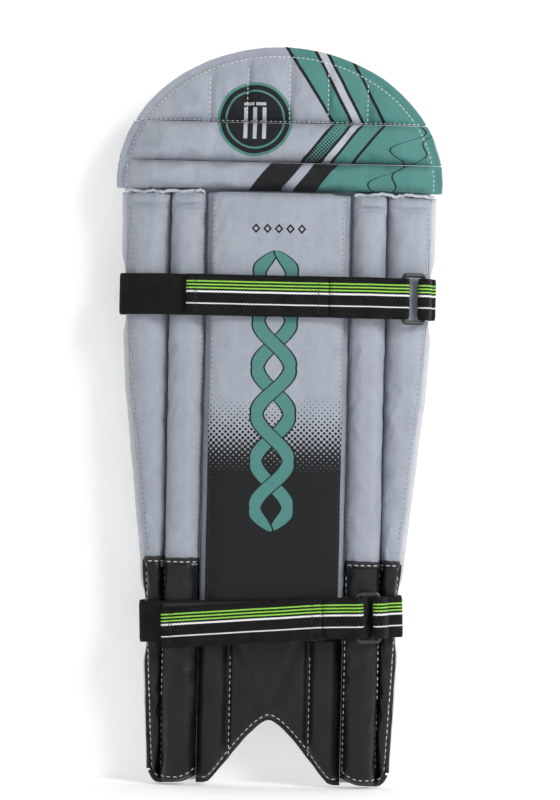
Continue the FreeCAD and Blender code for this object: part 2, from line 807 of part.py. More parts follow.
def check_and_write():
    """Stops if any object failed, then writes every sub-part's shape."""
    doc.recompute()
    for item in doc.Objects:
        if "Invalid" in item.State or "Error" in item.State:
            raise RuntimeError(f"{item.Name} failed: {item.State}")
    os.makedirs("parts", exist_ok=True)
    for old in os.listdir("parts"):
        os.remove(os.path.join("parts", old))
    whole = FreeCAD.BoundBox()
    for item in sub_parts:
        shape = item.Shape
        if shape.isNull() or not shape.isValid() or shape.Volume < MIN_VOLUME:
            raise RuntimeError(f"{item.Label} has no valid solid")
        whole.add(shape.BoundBox)
        shape.exportStep(f"parts/{item.Label}.step")
    print(len(sub_parts), "sub-parts", whole)


build_instep()
build_centre_panel()
build_cane_pocket()
build_middle_back()
build_wings()
build_knee()
for name in ("upper", "lower"):
    build_strap(name)
build_anchors()
check_and_write()
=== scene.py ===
"""Looks of the leg pad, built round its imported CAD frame.

Drawn in millimetres in the pad's own frame (X across, -Y out of the front, +Z up the leg, Y = 0 on the
seams), and moved into the row's frame, in metres, when each mesh is made.
"""
import json
import math
from functools import partialmethod

import bmesh
import bpy
import numpy as np
from mathutils import Matrix, Vector
from mathutils.bvhtree import BVHTree

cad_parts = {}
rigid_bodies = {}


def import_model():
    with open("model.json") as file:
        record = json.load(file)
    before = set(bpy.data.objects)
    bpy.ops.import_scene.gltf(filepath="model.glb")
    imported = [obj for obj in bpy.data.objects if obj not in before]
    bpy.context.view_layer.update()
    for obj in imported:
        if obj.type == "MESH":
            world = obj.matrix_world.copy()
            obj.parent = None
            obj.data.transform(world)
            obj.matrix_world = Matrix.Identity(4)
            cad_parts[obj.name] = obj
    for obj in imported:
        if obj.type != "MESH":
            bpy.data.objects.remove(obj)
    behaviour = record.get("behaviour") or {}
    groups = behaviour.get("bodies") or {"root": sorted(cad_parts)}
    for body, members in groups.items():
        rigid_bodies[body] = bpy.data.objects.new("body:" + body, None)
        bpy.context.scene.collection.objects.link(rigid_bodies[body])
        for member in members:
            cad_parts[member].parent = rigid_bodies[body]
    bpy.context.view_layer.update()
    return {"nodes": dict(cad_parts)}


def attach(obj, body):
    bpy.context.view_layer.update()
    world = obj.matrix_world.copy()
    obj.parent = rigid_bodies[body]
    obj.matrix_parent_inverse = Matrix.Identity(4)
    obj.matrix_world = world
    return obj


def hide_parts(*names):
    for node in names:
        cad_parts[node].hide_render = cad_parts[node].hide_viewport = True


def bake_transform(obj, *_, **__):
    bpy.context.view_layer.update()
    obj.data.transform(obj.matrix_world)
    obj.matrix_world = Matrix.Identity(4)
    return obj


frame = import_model()

# ------------------------------------------------------------------ sizes, as the CAD has them
SHIFT = np.array([0, 4.57, 0])
HINGE = 64.0
INNER = 30.2
TURN_IN = math.radians(4)
TURN_OUT = math.radians(12)
KNEE, MID, TOP, CROWN = 523.0, 548.0, 583.0, 650.0
HAT_CENTRE, HAT_HALF, HAT_RISE = 530.0, 144.0, 120.0
CAP_TOP = 197.0
EDGE_Z = (0, 3, 12, 197, 350, 430, 523)
EDGE_WIDE = (4.5, 4.5, 7.5, 17, 34, 39, 40)
ROLL_DEEP, OUTER_DEEP, KNEE_DEEP, HAT_DEEP = 24.0, 20.0, 22.0, 15.0
LIFT = 25.2
LAYER = 3.6
STRAP = {
    "upper": dict(at=430.0, slant=0.0, ring=54.0, outer=39.5, tail=80.0),
    "lower": dict(at=147.0, slant=math.radians(2.2), ring=20.0, outer=15.5, tail=96.0),
}
PEEL = 45.0
STRAP_HALF = 18.0
WEB_THICK = 1.7
RING_REACH = 9.2
MIDDLE_HALF, MIDDLE_EDGE = 63.2, 63.95
INSTEP_SEAM, INSTEP_TOP, INSTEP_RISE = 35.0, 131.5, 15.6 - 1.8
GATHER = 508.0
TOE_END = 45.0
QUILT_X = (-63.0, -30.0, 7.0, 41.0, 76.0)
KNEE_COLS = 120
BOLSTER_NEAR, BOLSTER_FAR, BOLSTER_OUT = 4.2, 29.8, 3.2
KNEE_BOLSTER_LOW, KNEE_BOLSTER_END = 553.6, 92.0
LINING_LOW, LINING_HIGH = 112.0, 500.0
LINING_LINES = (-33.6, -11.2, 11.2, 33.6)
SEAM_CLEAR = 0.4
BACK = 0.4
CLOTH_FRAMES = 16
SIDES = {"left": -1, "right": 1}
KINDS = (("inner", False), ("outer", True))

SEAM = np.array([HINGE + INNER * math.cos(TURN_IN), INNER * math.sin(TURN_IN)])

# ------------------------------------------------------------------ colours, linear
GREY = (0.300, 0.328, 0.385)
GREY_PALE = (0.43, 0.455, 0.505)
LINING = (0.60, 0.62, 0.65)
TEAL = (0.074, 0.222, 0.203)
INK = (0.008, 0.0085, 0.0095)
VINYL = (0.0045, 0.005, 0.0062)
WEBBING = (0.0035, 0.0035, 0.004)
LIME = (0.36, 0.80, 0.10)
THREAD = (0.72, 0.73, 0.74)
# A pale dusty grey for uneven colour, also used as painted shade in the gaps between woven threads
DUST_AND_GAP_SHADE = (0.16, 0.165, 0.175)

soft = []
bolsters = []
knee_things = []
pieces_to_finish = []
moves = {}


def wave(t, seed):
    """A smooth wandering curve of t, about -1 to 1, always the same for one seed."""
    total = np.zeros_like(np.asarray(t, float))
    rng = np.random.default_rng(seed)
    for k in range(5):
        rate = (1.0 + 0.83 * k) * rng.uniform(0.85, 1.15)
        total = total + np.sin(np.asarray(t) * rate + rng.uniform(0, 6.283)) / (1 + 0.6 * k)
    return total / 2.4


def smooth(t):
    t = np.clip(t, 0, 1)
    return t * t * (3 - 2 * t)


def rounded(t):
    """A quarter of a circle, from 0 to 1."""
    return np.sqrt(1 - (1 - t) ** 2)


def hump(away, width):
    return np.exp(-((away / width) ** 2))


def unit(vectors, least=0.0):
    return vectors / np.maximum(np.linalg.norm(vectors, axis=1, keepdims=True), least)


def run_along(path):
    """The distance run along a path, at each of its points."""
    return np.concatenate([[0], np.cumsum(np.linalg.norm(np.diff(path, axis=0), axis=1))])


def edge_width(z):
    """How wide the outer roll's stretch is at a height."""
    return np.interp(z, EDGE_Z, EDGE_WIDE)


def wing_frame(outer):
    return (TURN_OUT, SEAM) if outer else (TURN_IN, np.array([HINGE, 0.0]))


def wing(side, outer, across, out, z):
    """Points given on a wing stretch's flat frame, as an array of (x, y, z)."""
    turn, base = wing_frame(outer)
    across, out, z = np.broadcast_arrays(across, out, z)
    x = base[0] + across * math.cos(turn) + out * math.sin(turn)
    y = base[1] + across * math.sin(turn) - out * math.cos(turn)
    return np.stack([side * x, y, z], -1)


# ------------------------------------------------------------------ meshes
def make(name, points, faces, uvs=None, kinds=None):
    """A mesh object from points in millimetres, with uvs per corner in metres and a material per face."""
    mesh = bpy.data.meshes.new(name)
    co = np.asarray(points, float).reshape(-1, 3) + SHIFT
    mesh.from_pydata((co / 1000).tolist(), [], [list(map(int, f)) for f in faces])
    mesh.update()
    if uvs is not None:
        layer = mesh.uv_layers.new(name="UVMap")
        layer.data.foreach_set("uv", np.asarray(uvs, np.float32).ravel())
    if kinds is not None:
        mesh.polygons.foreach_set("material_index", np.asarray(kinds, np.int32))
    mesh.polygons.foreach_set("use_smooth", [True] * len(mesh.polygons))
    return linked(name, mesh)


def linked(name, data):
    """A new object in the scene."""
    made = bpy.data.objects.new(name, data)
    bpy.context.scene.collection.objects.link(made)
    return made


def grid(name, points, flip=False, uv=None, kinds=None):
    """A closed mesh over rings of points, one ring a row, with both ends filled."""
    points = np.asarray(points, float)
    rows, cols = points.shape[:2]
    if uv is None:
        step = np.linalg.norm(np.diff(points, axis=1, append=points[:, :1]), axis=2)
        u = np.concatenate([np.zeros((rows, 1)), np.cumsum(step, 1)], 1)
        row_step = np.linalg.norm(np.diff(points, axis=0), axis=2).mean(1)
        v = np.broadcast_to(np.concatenate([[0], np.cumsum(row_step)])[:, None], (rows, cols + 1))
    else:
        u = np.concatenate([uv[..., 0], uv[:, :1, 0]], 1)
        v = np.concatenate([uv[..., 1], uv[:, :1, 1]], 1)
    faces, corners, face_kinds = [], [], []
    for r in range(rows - 1):
        for c in range(cols):
            n = (c + 1) % cols
            quad = [(r, c, c), (r, n, c + 1), (r + 1, n, c + 1), (r + 1, c, c)]
            if flip:
                quad.reverse()
            faces.append([a * cols + b for a, b, _ in quad])
            corners += [(u[a, e] / 1000, v[a, e] / 1000) for a, _, e in quad]
            if kinds is not None:
                face_kinds.append(kinds[c])
    for r in (0, rows - 1):
        for c in range((cols - 1) // 2):
            across = [c, c + 1, cols - 2 - c, cols - 1 - c]
            across = [k for i, k in enumerate(across) if k not in across[:i]]
            if (r == 0) != flip:
                across.reverse()
            faces.append([r * cols + k for k in across])
            corners += [(u[r, k] / 1000, v[r, k] / 1000) for k in across]
            if kinds is not None:
                face_kinds.append(0)
    return make(name, points, faces, corners, face_kinds if kinds is not None else None)


def sheets(name, put, across, front, back, z, mapped=True):
    """A closed piece between two sheets over (across, z), front and back being how far out they stand."""
    ring = [np.concatenate([a, b[:, ::-1]], 1) for a, b in ((across, across), (front, back), (z, z))]
    return grid(name, put(*ring), uv=np.stack([ring[0], ring[2]], -1) if mapped else None)


def coords(thing):
    """An object's points, in millimetres, in the pad's frame."""
    co = np.zeros(len(thing.data.vertices) * 3)
    thing.data.vertices.foreach_get("co", co)
    return co.reshape(-1, 3) * 1000 - SHIFT


def set_coords(thing, points):
    co = (np.asarray(points) + SHIFT) / 1000
    thing.data.vertices.foreach_set("co", co.ravel())
    thing.data.update()


def normals(thing):
    n = np.zeros(len(thing.data.vertices) * 3, np.float32)
    thing.data.vertex_normals.foreach_get("vector", n)
    return n.reshape(-1, 3).astype(float)


def applied(thing):
    """Swaps the object's mesh for what its modifiers make of it."""
    depsgraph = bpy.context.evaluated_depsgraph_get()
    mesh = bpy.data.meshes.new_from_object(thing.evaluated_get(depsgraph))
    thing.modifiers.clear()
    thing.data = mesh
    mesh.polygons.foreach_set("use_smooth", [True] * len(mesh.polygons))


def subdivided(thing):
    mod = thing.modifiers.new("Subdivision", "SUBSURF")
    mod.levels = 1
    mod.render_levels = 1
    applied(thing)


def inflate(thing, pinned, pressure, slack, cap):
    """Notes a stuffed piece for the cloth simulation: pinned points stay, the rest swells by at most cap."""
    soft.append(dict(thing=thing, pinned=np.ravel(pinned), pressure=pressure, slack=slack, cap=cap))


def run_cloth():
    """Simulates every noted piece at once and keeps the result."""
    scene = bpy.context.scene
    for job in soft:
        thing = job["thing"]
        group = thing.vertex_groups.new(name="pins")
        group.add([int(i) for i in np.nonzero(job["pinned"])[0]], 1.0, "REPLACE")
        mod = thing.modifiers.new("Swell", "CLOTH")
        for name, value in dict(
            quality=6, mass=0.12, tension_stiffness=12, compression_stiffness=12, shear_stiffness=6,
            bending_stiffness=0.15, use_pressure=True, uniform_pressure_force=job["pressure"],
            shrink_min=-job["slack"], shrink_max=-job["slack"], vertex_group_mass="pins",
        ).items():
            setattr(mod.settings, name, value)
        mod.settings.effector_weights.gravity = 0
        mod.collision_settings.use_collision = False
        mod.point_cache.frame_start = 1
        mod.point_cache.frame_end = CLOTH_FRAMES
    for number in range(1, CLOTH_FRAMES + 1):
        scene.frame_set(number)
    depsgraph = bpy.context.evaluated_depsgraph_get()
    for job in soft:
        before = coords(job["thing"])
        move = coords(job["thing"].evaluated_get(depsgraph)) - before
        far = np.linalg.norm(move, axis=1, keepdims=True)
        move = move * np.minimum(1, job["cap"] / np.maximum(far, 1e-9))
        job["result"] = before + np.nan_to_num(move)
    for job in soft:
        job["thing"].modifiers.clear()
        job["thing"].vertex_groups.clear()
        set_coords(job["thing"], job["result"])
    scene.frame_set(1)


# ------------------------------------------------------------------ materials
class Num:
    """A number in a node tree: arithmetic on it adds Math nodes."""

    def __init__(self, tree, socket):
        self.tree = tree
        self.socket = socket

    def op(self, kind, *others, clamp=False):
        node = self.tree.nodes.new("ShaderNodeMath")
        node.operation = kind
        node.use_clamp = clamp
        for slot, value in enumerate((self,) + others):
            if isinstance(value, Num):
                self.tree.links.new(value.socket, node.inputs[slot])
            else:
                node.inputs[slot].default_value = value
        return Num(self.tree, node.outputs[0])

    def clamped(self):
        """Held between 0 and 1."""
        return self.op("ADD", 0.0, clamp=True)

    def within(self, low, high):
        return (self > low).both(self < high)

    def edge(self, at, soft_width):
        """1 below at, falling to 0 over soft_width."""
        return ((self - at) * (-1.0 / soft_width) + 0.5).clamped()


for method, kind in dict(
    __add__="ADD", __sub__="SUBTRACT", __mul__="MULTIPLY", __truediv__="DIVIDE", __lt__="LESS_THAN",
    __gt__="GREATER_THAN", both="MULTIPLY", either="MAXIMUM", least="MINIMUM", size="ABSOLUTE", sin="SINE",
).items():
    setattr(Num, method, partialmethod(Num.op, kind))


def set_inputs(node, values):
    for name, value in values.items():
        node.inputs[name].default_value = value


def new_material(name):
    """A material with its node tree and its principled shader."""
    material = bpy.data.materials.new(name)
    material.use_nodes = True
    return material, material.node_tree, material.node_tree.nodes["Principled BSDF"]


class Look:
    """A principled material being built, with its UV map's numbers in millimetres."""

    def __init__(self, name, rough, specular, sheen=0.0):
        self.material, self.tree, self.shader = new_material(name)
        set_inputs(self.shader, {"Roughness": rough, "Specular IOR Level": specular, "Sheen Weight": sheen})
        self.bumps = None

    def uv(self):
        node = self.tree.nodes.new("ShaderNodeUVMap")
        node.uv_map = "UVMap"
        split = self.tree.nodes.new("ShaderNodeSeparateXYZ")
        self.tree.links.new(node.outputs[0], split.inputs[0])
        self.vector = node.outputs[0]
        return Num(self.tree, split.outputs[0]) * 1000.0, Num(self.tree, split.outputs[1]) * 1000.0

    def noise(self, scale, detail=3.0, rough=0.5, stretch=(1, 1, 1)):
        node = self.tree.nodes.new("ShaderNodeTexNoise")
        set_inputs(node, {"Scale": scale, "Detail": detail, "Roughness": rough})
        mapping = self.tree.nodes.new("ShaderNodeMapping")
        mapping.inputs["Scale"].default_value = stretch
        self.tree.links.new(self.vector, mapping.inputs[0])
        self.tree.links.new(mapping.outputs[0], node.inputs["Vector"])
        return Num(self.tree, node.outputs["Fac"])

    def mix(self, base, over, amount):
        """Lays one colour over another; each is a tuple or an output socket."""
        node = self.tree.nodes.new("ShaderNodeMix")
        node.data_type = "RGBA"
        for slot, value in ((6, base), (7, over)):
            if isinstance(value, tuple):
                node.inputs[slot].default_value = (*value, 1)
            else:
                self.tree.links.new(value, node.inputs[slot])
        self.tree.links.new(amount.socket, node.inputs[0])
        return node.outputs[2]

    def lay(self, ground, *layers):
        """Lays (colour, mask) layers over a ground."""
        for over, mask in layers:
            ground = self.mix(ground, over, mask)
        return ground

    def colour(self, socket):
        self.tree.links.new(socket, self.shader.inputs["Base Color"])

    def roughness(self, number):
        self.tree.links.new(number.socket, self.shader.inputs["Roughness"])

    def bump(self, height, depth_mm, strength=1.0):
        """Adds relief: height runs 0 to 1 over depth_mm."""
        node = self.tree.nodes.new("ShaderNodeBump")
        set_inputs(node, {"Distance": depth_mm / 1000, "Strength": strength})
        self.tree.links.new(height.socket, node.inputs["Height"])
        if self.bumps:
            self.tree.links.new(self.bumps, node.inputs["Normal"])
        self.bumps = node.outputs[0]
        self.tree.links.new(node.outputs[0], self.shader.inputs["Normal"])


def weave(u, v, pitch):
    """Plain weave relief, 0 to 1, of threads pitch millimetres apart."""
    turn = math.pi / pitch
    over = (u * turn).sin().size()
    under = (v * turn).sin().size()
    checker = ((u * turn).sin().both((v * turn).sin()) > 0.0)
    return over.both(checker) + under.both(checker * -1.0 + 1.0)


def cloth_look(name, base, pale, pitch=0.55, printed=None, depth=0.05):
    """Woven cloth, mottled with paler and darker worn patches, with long pale streaks painted as highlights
    on its creases. printed(look, u, v, ground) adds a print.
    """
    look = Look(name, rough=0.78, sheen=0.06, specular=0.22)
    u, v = look.uv()
    cloudy = look.noise(28.0, 4.0)
    # Long pale streaks: painted highlights on creases
    crease_highlight_streaks = look.noise(90.0, 3.0, stretch=(1.0, 0.12, 1.0))
    worn = look.noise(150.0, 5.0, 0.6, stretch=(1.0, 0.6, 1.0))
    ground = look.lay(
        base,
        (pale, (cloudy * 1.5 - 0.45).clamped() * 0.55),
        # pale streaks laid on as painted crease highlights
        (pale, (crease_highlight_streaks * 2.2 - 0.95).clamped() * 0.3),
        (pale, (worn * 3.0 - 1.6).clamped() * 0.6),
        (tuple(0.74 * part for part in base), (worn * -3.0 + 1.35).clamped() * 0.6),
    )
    if printed:
        ground = printed(look, u, v, ground)
    threads = weave(u, v, pitch)
    # Painted shade: darker in the gaps between threads, where the weave's relief is low
    ground = look.mix(ground, DUST_AND_GAP_SHADE, (threads * -1.0 + 1.0) * 0.05)
    look.colour(ground)
    look.bump(look.noise(42.0, 3.0, stretch=(1.0, 0.45, 1.0)), 1.4, 0.45)
    look.bump(look.noise(160.0, 4.0, stretch=(1.0, 0.5, 1.0)), 0.4, 0.5)
    look.bump(threads, depth, 0.6)
    return look.material


def halftone(u, v, strength, pitch):
    """Dots on a slanted grid that grow with strength, 0 to 1: a mask."""
    p = (u + v) * (0.7071 / pitch)
    q = (u - v) * (0.7071 / pitch)
    fx = (p.op("FRACT") - 0.5)
    fy = (q.op("FRACT") - 0.5)
    away = (fx * fx + fy * fy).op("SQRT")
    return (away - strength * 0.74).edge(0.0, 0.08)


def knee_print(look, x, z, ground):
    """Chevron bands, a halftone patch, thin waving lines and a roundel with a wicket in it, over the knee."""
    rise = (z - TOP).op("MAXIMUM", 0.0)
    fall = (z * -1.0 + TOP).op("MAXIMUM", 0.0)
    c = x + rise * 0.52 + fall * 0.80
    first = x + rise * 0.64 + fall * 0.80
    upper_part = z > MID
    lines = first.within(45.2, 48.4)
    for low in (61.2, 71.0, 90.0):
        lines = lines.either(c.within(low, low + 3.0))
    dots = halftone(x, z, (fall * 0.013 + 0.24), 2.3)
    lower_part = z < MID
    d = x - (z - 524.5) * 0.82
    blocks = d.within(-26.5, 2.0).either(d.within(12.0, 32.0))
    inked = look.lay(
        ground,
        (TEAL, (first > 47.0).both(upper_part)),
        (GREY_PALE, c.within(63.0, 72.0).both(upper_part)),
        (INK, lines.both(upper_part)),
        (INK, dots.both(c.within(48.4, 61.4)).both(upper_part).both(fall > 5.0)),
        (TEAL, (d > 31.0).both(lower_part)),
        (INK, blocks.both(lower_part)),
    )
    for shift, reach, tilt in ((0.0, 11.0, 0.62), (17.0, 7.0, 0.9)):
        t = x - 104.0 - shift
        bend = (z * 0.21 + shift).sin() * reach
        ribbon = (t - bend - (z - 556.0) * tilt).size() < 0.75
        inked = look.mix(inked, INK, ribbon.both(c > 98.0).both(z < 582.0))
    rx = x + 23.0
    rz = z - 585.0
    away = (rx * rx + rz * rz).op("SQRT")
    stumps = (rx.size() < 1.7).either((rx.size() - 8.2).size() < 1.7).both(rz.within(-17.5, 11.0))
    bails = rx.size().within(0.8, 9.6).both((rz - 14.0).size() < 1.3)
    ring = away.within(24.6, 26.2)
    wicket = stumps.either(bails)
    return look.lay(inked, (TEAL, away < 33.0), (INK, away < 30.5), (TEAL, ring), (GREY_PALE, wicket))


def panel_print(look, x, z, ground):
    """Grey fading through halftone dots to black below, with a twisted cord drawn up the middle."""
    fade = ((z * -1.0 + 348.0) / 78.0).clamped()
    dots = halftone(x, z, fade, 3.6)
    inked = look.mix(ground, INK, dots.either(z < 277.0))
    low, high = 224.0, 470.0
    cord = z.within(low, high)
    from_end = (z - low).least(z * -1.0 + high)
    taper = (from_end / 12.0).clamped().op("SQRT")
    phase = (z - low) * (math.pi / 41.0)
    for shift in (0.0, math.pi):
        off = (x + 2.0 - (phase + shift).sin() * 14.0).size()
        wide = ((phase + shift).op("COSINE").size() * 3.4 + 4.6) * taper
        inked = look.lay(inked, (INK, (off < (wide + 1.5)).both(cord)), (TEAL, (off < wide).both(cord)))
    for k in range(5):
        diamond = (x + 20.0 - 10.0 * k).size() + (z - 489.0).size() * 0.9
        inked = look.mix(inked, INK, diamond.within(1.9, 3.9))
    return inked


def vinyl_look(name):
    """Coated vinyl: fine grain, soft creases and a broad gloss."""
    look = Look(name, rough=0.36, specular=0.30)
    look.uv()
    cloudy = look.noise(30.0, 4.0)
    worn = look.noise(75.0, 5.0, stretch=(1.0, 0.35, 1.0))
    ground = look.mix(VINYL, DUST_AND_GAP_SHADE, (cloudy * 0.5 + worn * 0.9 - 0.55).clamped() * 0.10)
    look.colour(ground)
    look.roughness(look.noise(45.0, 3.0) * 0.34 + 0.26)
    look.bump(look.noise(900.0, 2.0), 0.06, 0.5)
    look.bump(look.noise(70.0, 4.0, stretch=(1.0, 0.4, 1.0)), 0.5, 0.5)
    return look.material


def webbing_look(name, striped):
    """Ribbed nylon webbing, with woven stripes on its outer face."""
    look = Look(name, rough=0.78, sheen=0.03, specular=0.14)
    u, v = look.uv()
    rib = (u * (math.pi / 1.1)).sin().size()
    lean = ((u + v) * (math.pi / 1.5)).sin().size()
    ground = look.mix(WEBBING, DUST_AND_GAP_SHADE, (look.noise(60.0, 4.0) * 0.9 - 0.28).clamped() * 0.10)
    if striped:
        jag = (u * (math.pi / 1.5)).sin() * 0.22
        w = v + jag
        for middle in (11.8, 8.9, 6.0):
            band = (w - middle).size() < 0.58
            ground = look.mix(ground, LIME, band.both(lean > 0.30))
        for middle, half in ((2.8, 0.8), (-7.6, 0.5)):
            ground = look.mix(ground, (0.78, 0.79, 0.79), (w - middle).size() < half)
    look.colour(ground)
    look.bump(rib, 0.16, 0.6)
    look.bump(lean, 0.12, 0.5)
    return look.material


def plain_look(name, base, rough, grain, depth, specular=0.4):
    """A simple finish with grain and slight unevenness of colour."""
    look = Look(name, rough=rough, specular=specular)
    coordinate = look.tree.nodes.new("ShaderNodeTexCoord")
    look.vector = coordinate.outputs["Object"]
    look.colour(look.mix(base, DUST_AND_GAP_SHADE, (look.noise(40.0, 4.0) * 1.4 - 0.4).clamped() * 0.15))
    look.roughness(look.noise(120.0, 3.0) * 0.2 + (rough - 0.1))
    look.bump(look.noise(grain, 3.0), depth, 0.5)
    return look.material


LOOKS = {
    "grey": cloth_look("GreyCloth", GREY, GREY_PALE),
    "knee": cloth_look("KneePrint", GREY, GREY_PALE, printed=knee_print),
    "panel": cloth_look("PanelPrint", GREY, GREY_PALE, printed=panel_print),
    "lining": cloth_look("PaleLining", LINING, (0.72, 0.73, 0.75), pitch=0.9, depth=0.09),
    "vinyl": vinyl_look("BlackVinyl"),
    "striped": webbing_look("StripedWebbing", True),
    "webbing": webbing_look("PlainWebbing", False),
    "thread": plain_look("Thread", THREAD, 0.75, 1500.0, 0.05),
    # Dark thread for the panel's stitches, also drawn as short dark bits that paint the shade in needle holes
    # along the roll seams
    "dark_thread": plain_look("DarkThread", (0.05, 0.055, 0.065), 0.8, 1500.0, 0.05),
    "tape": cloth_look("EdgeTape", (0.56, 0.58, 0.61), (0.72, 0.73, 0.75), pitch=0.8),
    "frill": cloth_look("PaleFrill", GREY_PALE, (0.60, 0.62, 0.65), pitch=0.8),
    "black_tape": plain_look("BlackTape", (0.014, 0.014, 0.015), 0.8, 900.0, 0.15),
    "plastic": plain_look("RingPlastic", (0.013, 0.013, 0.014), 0.35, 500.0, 0.03, 0.5),
    "hook": plain_look("HookTape", (0.012, 0.012, 0.012), 0.9, 2500.0, 0.4),
}


def dress(thing, *names):
    thing.data.materials.clear()
    for name in names:
        thing.data.materials.append(LOOKS[name])


def finished(thing, finish, slot, nodes=()):
    """Gives a piece its look and hides the CAD pieces it stands for. slot is not used."""
    dress(thing, finish)
    if nodes:
        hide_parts(*nodes)


def moved(thing, call, *bodies, **ends):
    """Makes a piece ride on its body or bakes its transform, and remembers how for what is sewn to it."""
    call(thing, *bodies, **ends)
    moves[thing.name] = (call, bodies, ends)


def carried(thing, body):
    """Moves a piece with its body. One on a wing only has its transform baked."""
    if body.endswith("_wing"):
        moved(thing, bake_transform, body, "shin_centre", start=(0, 0, 0.452), end=(0, 0, 0.522))
    else:
        moved(thing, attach, body)


def hash_of(text):
    """A small fixed number for a name."""
    return sum((i + 1) * ord(ch) for i, ch in enumerate(text)) % 997


# ------------------------------------------------------------------ stuffed rolls of the wings
def end_taper(z, low, high, reach_low, reach_high):
    """0 at each end of a roll, 1 away from them, round as a stuffed end is."""
    rise = np.clip((z - low) / reach_low, 0, 1) if reach_low else np.ones_like(z)
    fall = np.clip((high - z) / reach_high, 0, 1) if reach_high else np.ones_like(z)
    return rounded(rise) * rounded(fall)


def roll_depth(wide, outer):
    """How far a roll's filling stands out at a width: a narrow stretch is stuffed less."""
    deep = (OUTER_DEEP if outer else ROLL_DEEP) - 3.2
    return deep * np.interp(wide, (0, 7, 16, 30), (0.35, 0.62, 0.9, 1.0))


def roll_section(count=22, back=7, power=2.9):
    """A roll's cross-section: pairs of (across -1..1, out 0..1), round in front and flat behind."""
    angle = np.linspace(0, math.pi, count)
    across = -np.sign(np.cos(angle)) * np.abs(np.cos(angle)) ** (2 / power)
    out = np.abs(np.sin(angle)) ** (2 / power)
    behind = np.linspace(1, -1, back + 2)[1:-1]
    return np.concatenate([across, behind]), np.concatenate([out, np.zeros(back)])


def bottom_lift(across, outer):
    """How far the lower edge of the vinyl curves up, by place across a wing stretch."""
    if outer:
        return 9.0 * np.clip((across - 2.0) / 8.0, 0, 1) ** 2
    return 7.5 * np.clip(1 - across / 17.0, 0, 1) ** 1.6


def tube(name, put, rows, near, far, deep, taper, start=0.4, face=1, flip=False):
    """A stuffed tube sewn down flat, with which of its points are sewn down.

    rows run along it, near and far bound it, and put places (across, out, along). face is 1 for a tube on
    the front and -1 for one on the back.
    """
    across, out = roll_section()
    near = np.broadcast_to(near, rows.shape)
    far = np.broadcast_to(far, rows.shape)
    middle = (near + far)[:, None] / 2
    half = (far - near)[:, None] / 2
    a = middle + half * across[None, :]
    o = face * (start + (deep * taper)[:, None] * out[None, :])
    points = put(a, o, np.broadcast_to(rows[:, None], a.shape))
    thing = grid(name, points, flip=flip != (face < 0))
    sewn = np.broadcast_to(out[None, :] < 0.02, points.shape[:2]).copy()
    sewn[[0, -1]] = True
    return thing, sewn


def footed(side, outer):
    """Places points of a wing stretch, with the toe of the vinyl curved up."""

    def put(across, out, z):
        return wing(side, outer, across, out, z + bottom_lift(across, outer) * np.clip(1 - z / TOE_END, 0, 1))

    return put


def pucker(thing, lines, depth=0.5, pitch=6.5, reach=7.0, seed=1, only_front=True):
    """Presses small gathers into the cloth beside seams.

    lines(points) gives, for each seam, every point's distance from it and place along it.
    """
    points = coords(thing)
    n = normals(thing)
    push = 0.13 * wave(points[:, 0] / 9.0 + 3.1 * wave(points[:, 2] / 31.0, seed), seed + 1)
    push += 0.15 * wave(points[:, 2] / 17.0 + 2.0 * wave(points[:, 0] / 23.0, seed + 5), seed + 2)
    for number, (distance, along) in enumerate(lines(points)):
        fade = np.exp(-np.abs(distance) / reach)
        beat = wave(along / pitch * 2.2, seed + 10 + number)
        push += depth * fade * beat * (0.6 + 0.4 * wave(along / 30.0, seed + 30 + number))
    if only_front:
        push = push * smooth(-n[:, 1] * 3.0)
    set_coords(thing, points + n * push[:, None])


def wing_flat(points, side, outer):
    """Pad-frame points as (across, out) in a wing stretch's flat frame."""
    turn, base = wing_frame(outer)
    x = points[:, 0] * side - base[0]
    y = points[:, 1] - base[1]
    return x * math.cos(turn) + y * math.sin(turn), x * math.sin(turn) - y * math.cos(turn)


def build_rolls():
    gathered = np.linspace(GATHER - 4, KNEE - 0.6, 12)
    high_z = np.concatenate([np.arange(CAP_TOP - 8, GATHER - 6, 4.0), gathered])
    low_z = np.concatenate([np.linspace(0.4, 12, 7), np.arange(16, CAP_TOP - 2, 4.0), [CAP_TOP]])
    for word, side in SIDES.items():
        for kind, outer in KINDS:
            for part, zs in (("cloth", high_z), ("vinyl", low_z)):
                foot = 3.0 if outer else 0.0
                zs = zs + (foot if part == "vinyl" else 0) * (1 - zs / CAP_TOP)
                far = edge_width(zs) - 0.6 if outer else np.full(zs.shape, INNER - 0.3)
                if part == "cloth":
                    grow = np.maximum(end_taper(zs, zs[0], zs[-1] + 0.2, 0, 11), 0.12)
                    grow = grow * (1 - 0.20 * hump(zs - GATHER, 2.6))
                else:
                    grow = np.maximum(end_taper(zs, zs[0] - 0.2, zs[-1], 13, 0), 0.1)
                thick = roll_depth(far, outer) + (0.9 if part == "vinyl" else 0)
                name = f"{word}_{kind}_{part}_roll"
                thing, sewn = tube(name, footed(side, outer), zs, 0.35, far, thick, grow, flip=side < 0)
                inflate(thing, sewn, pressure=2.6, slack=0.010, cap=2.0)
                pieces_to_finish.append((thing, word, side, outer, part, kind))


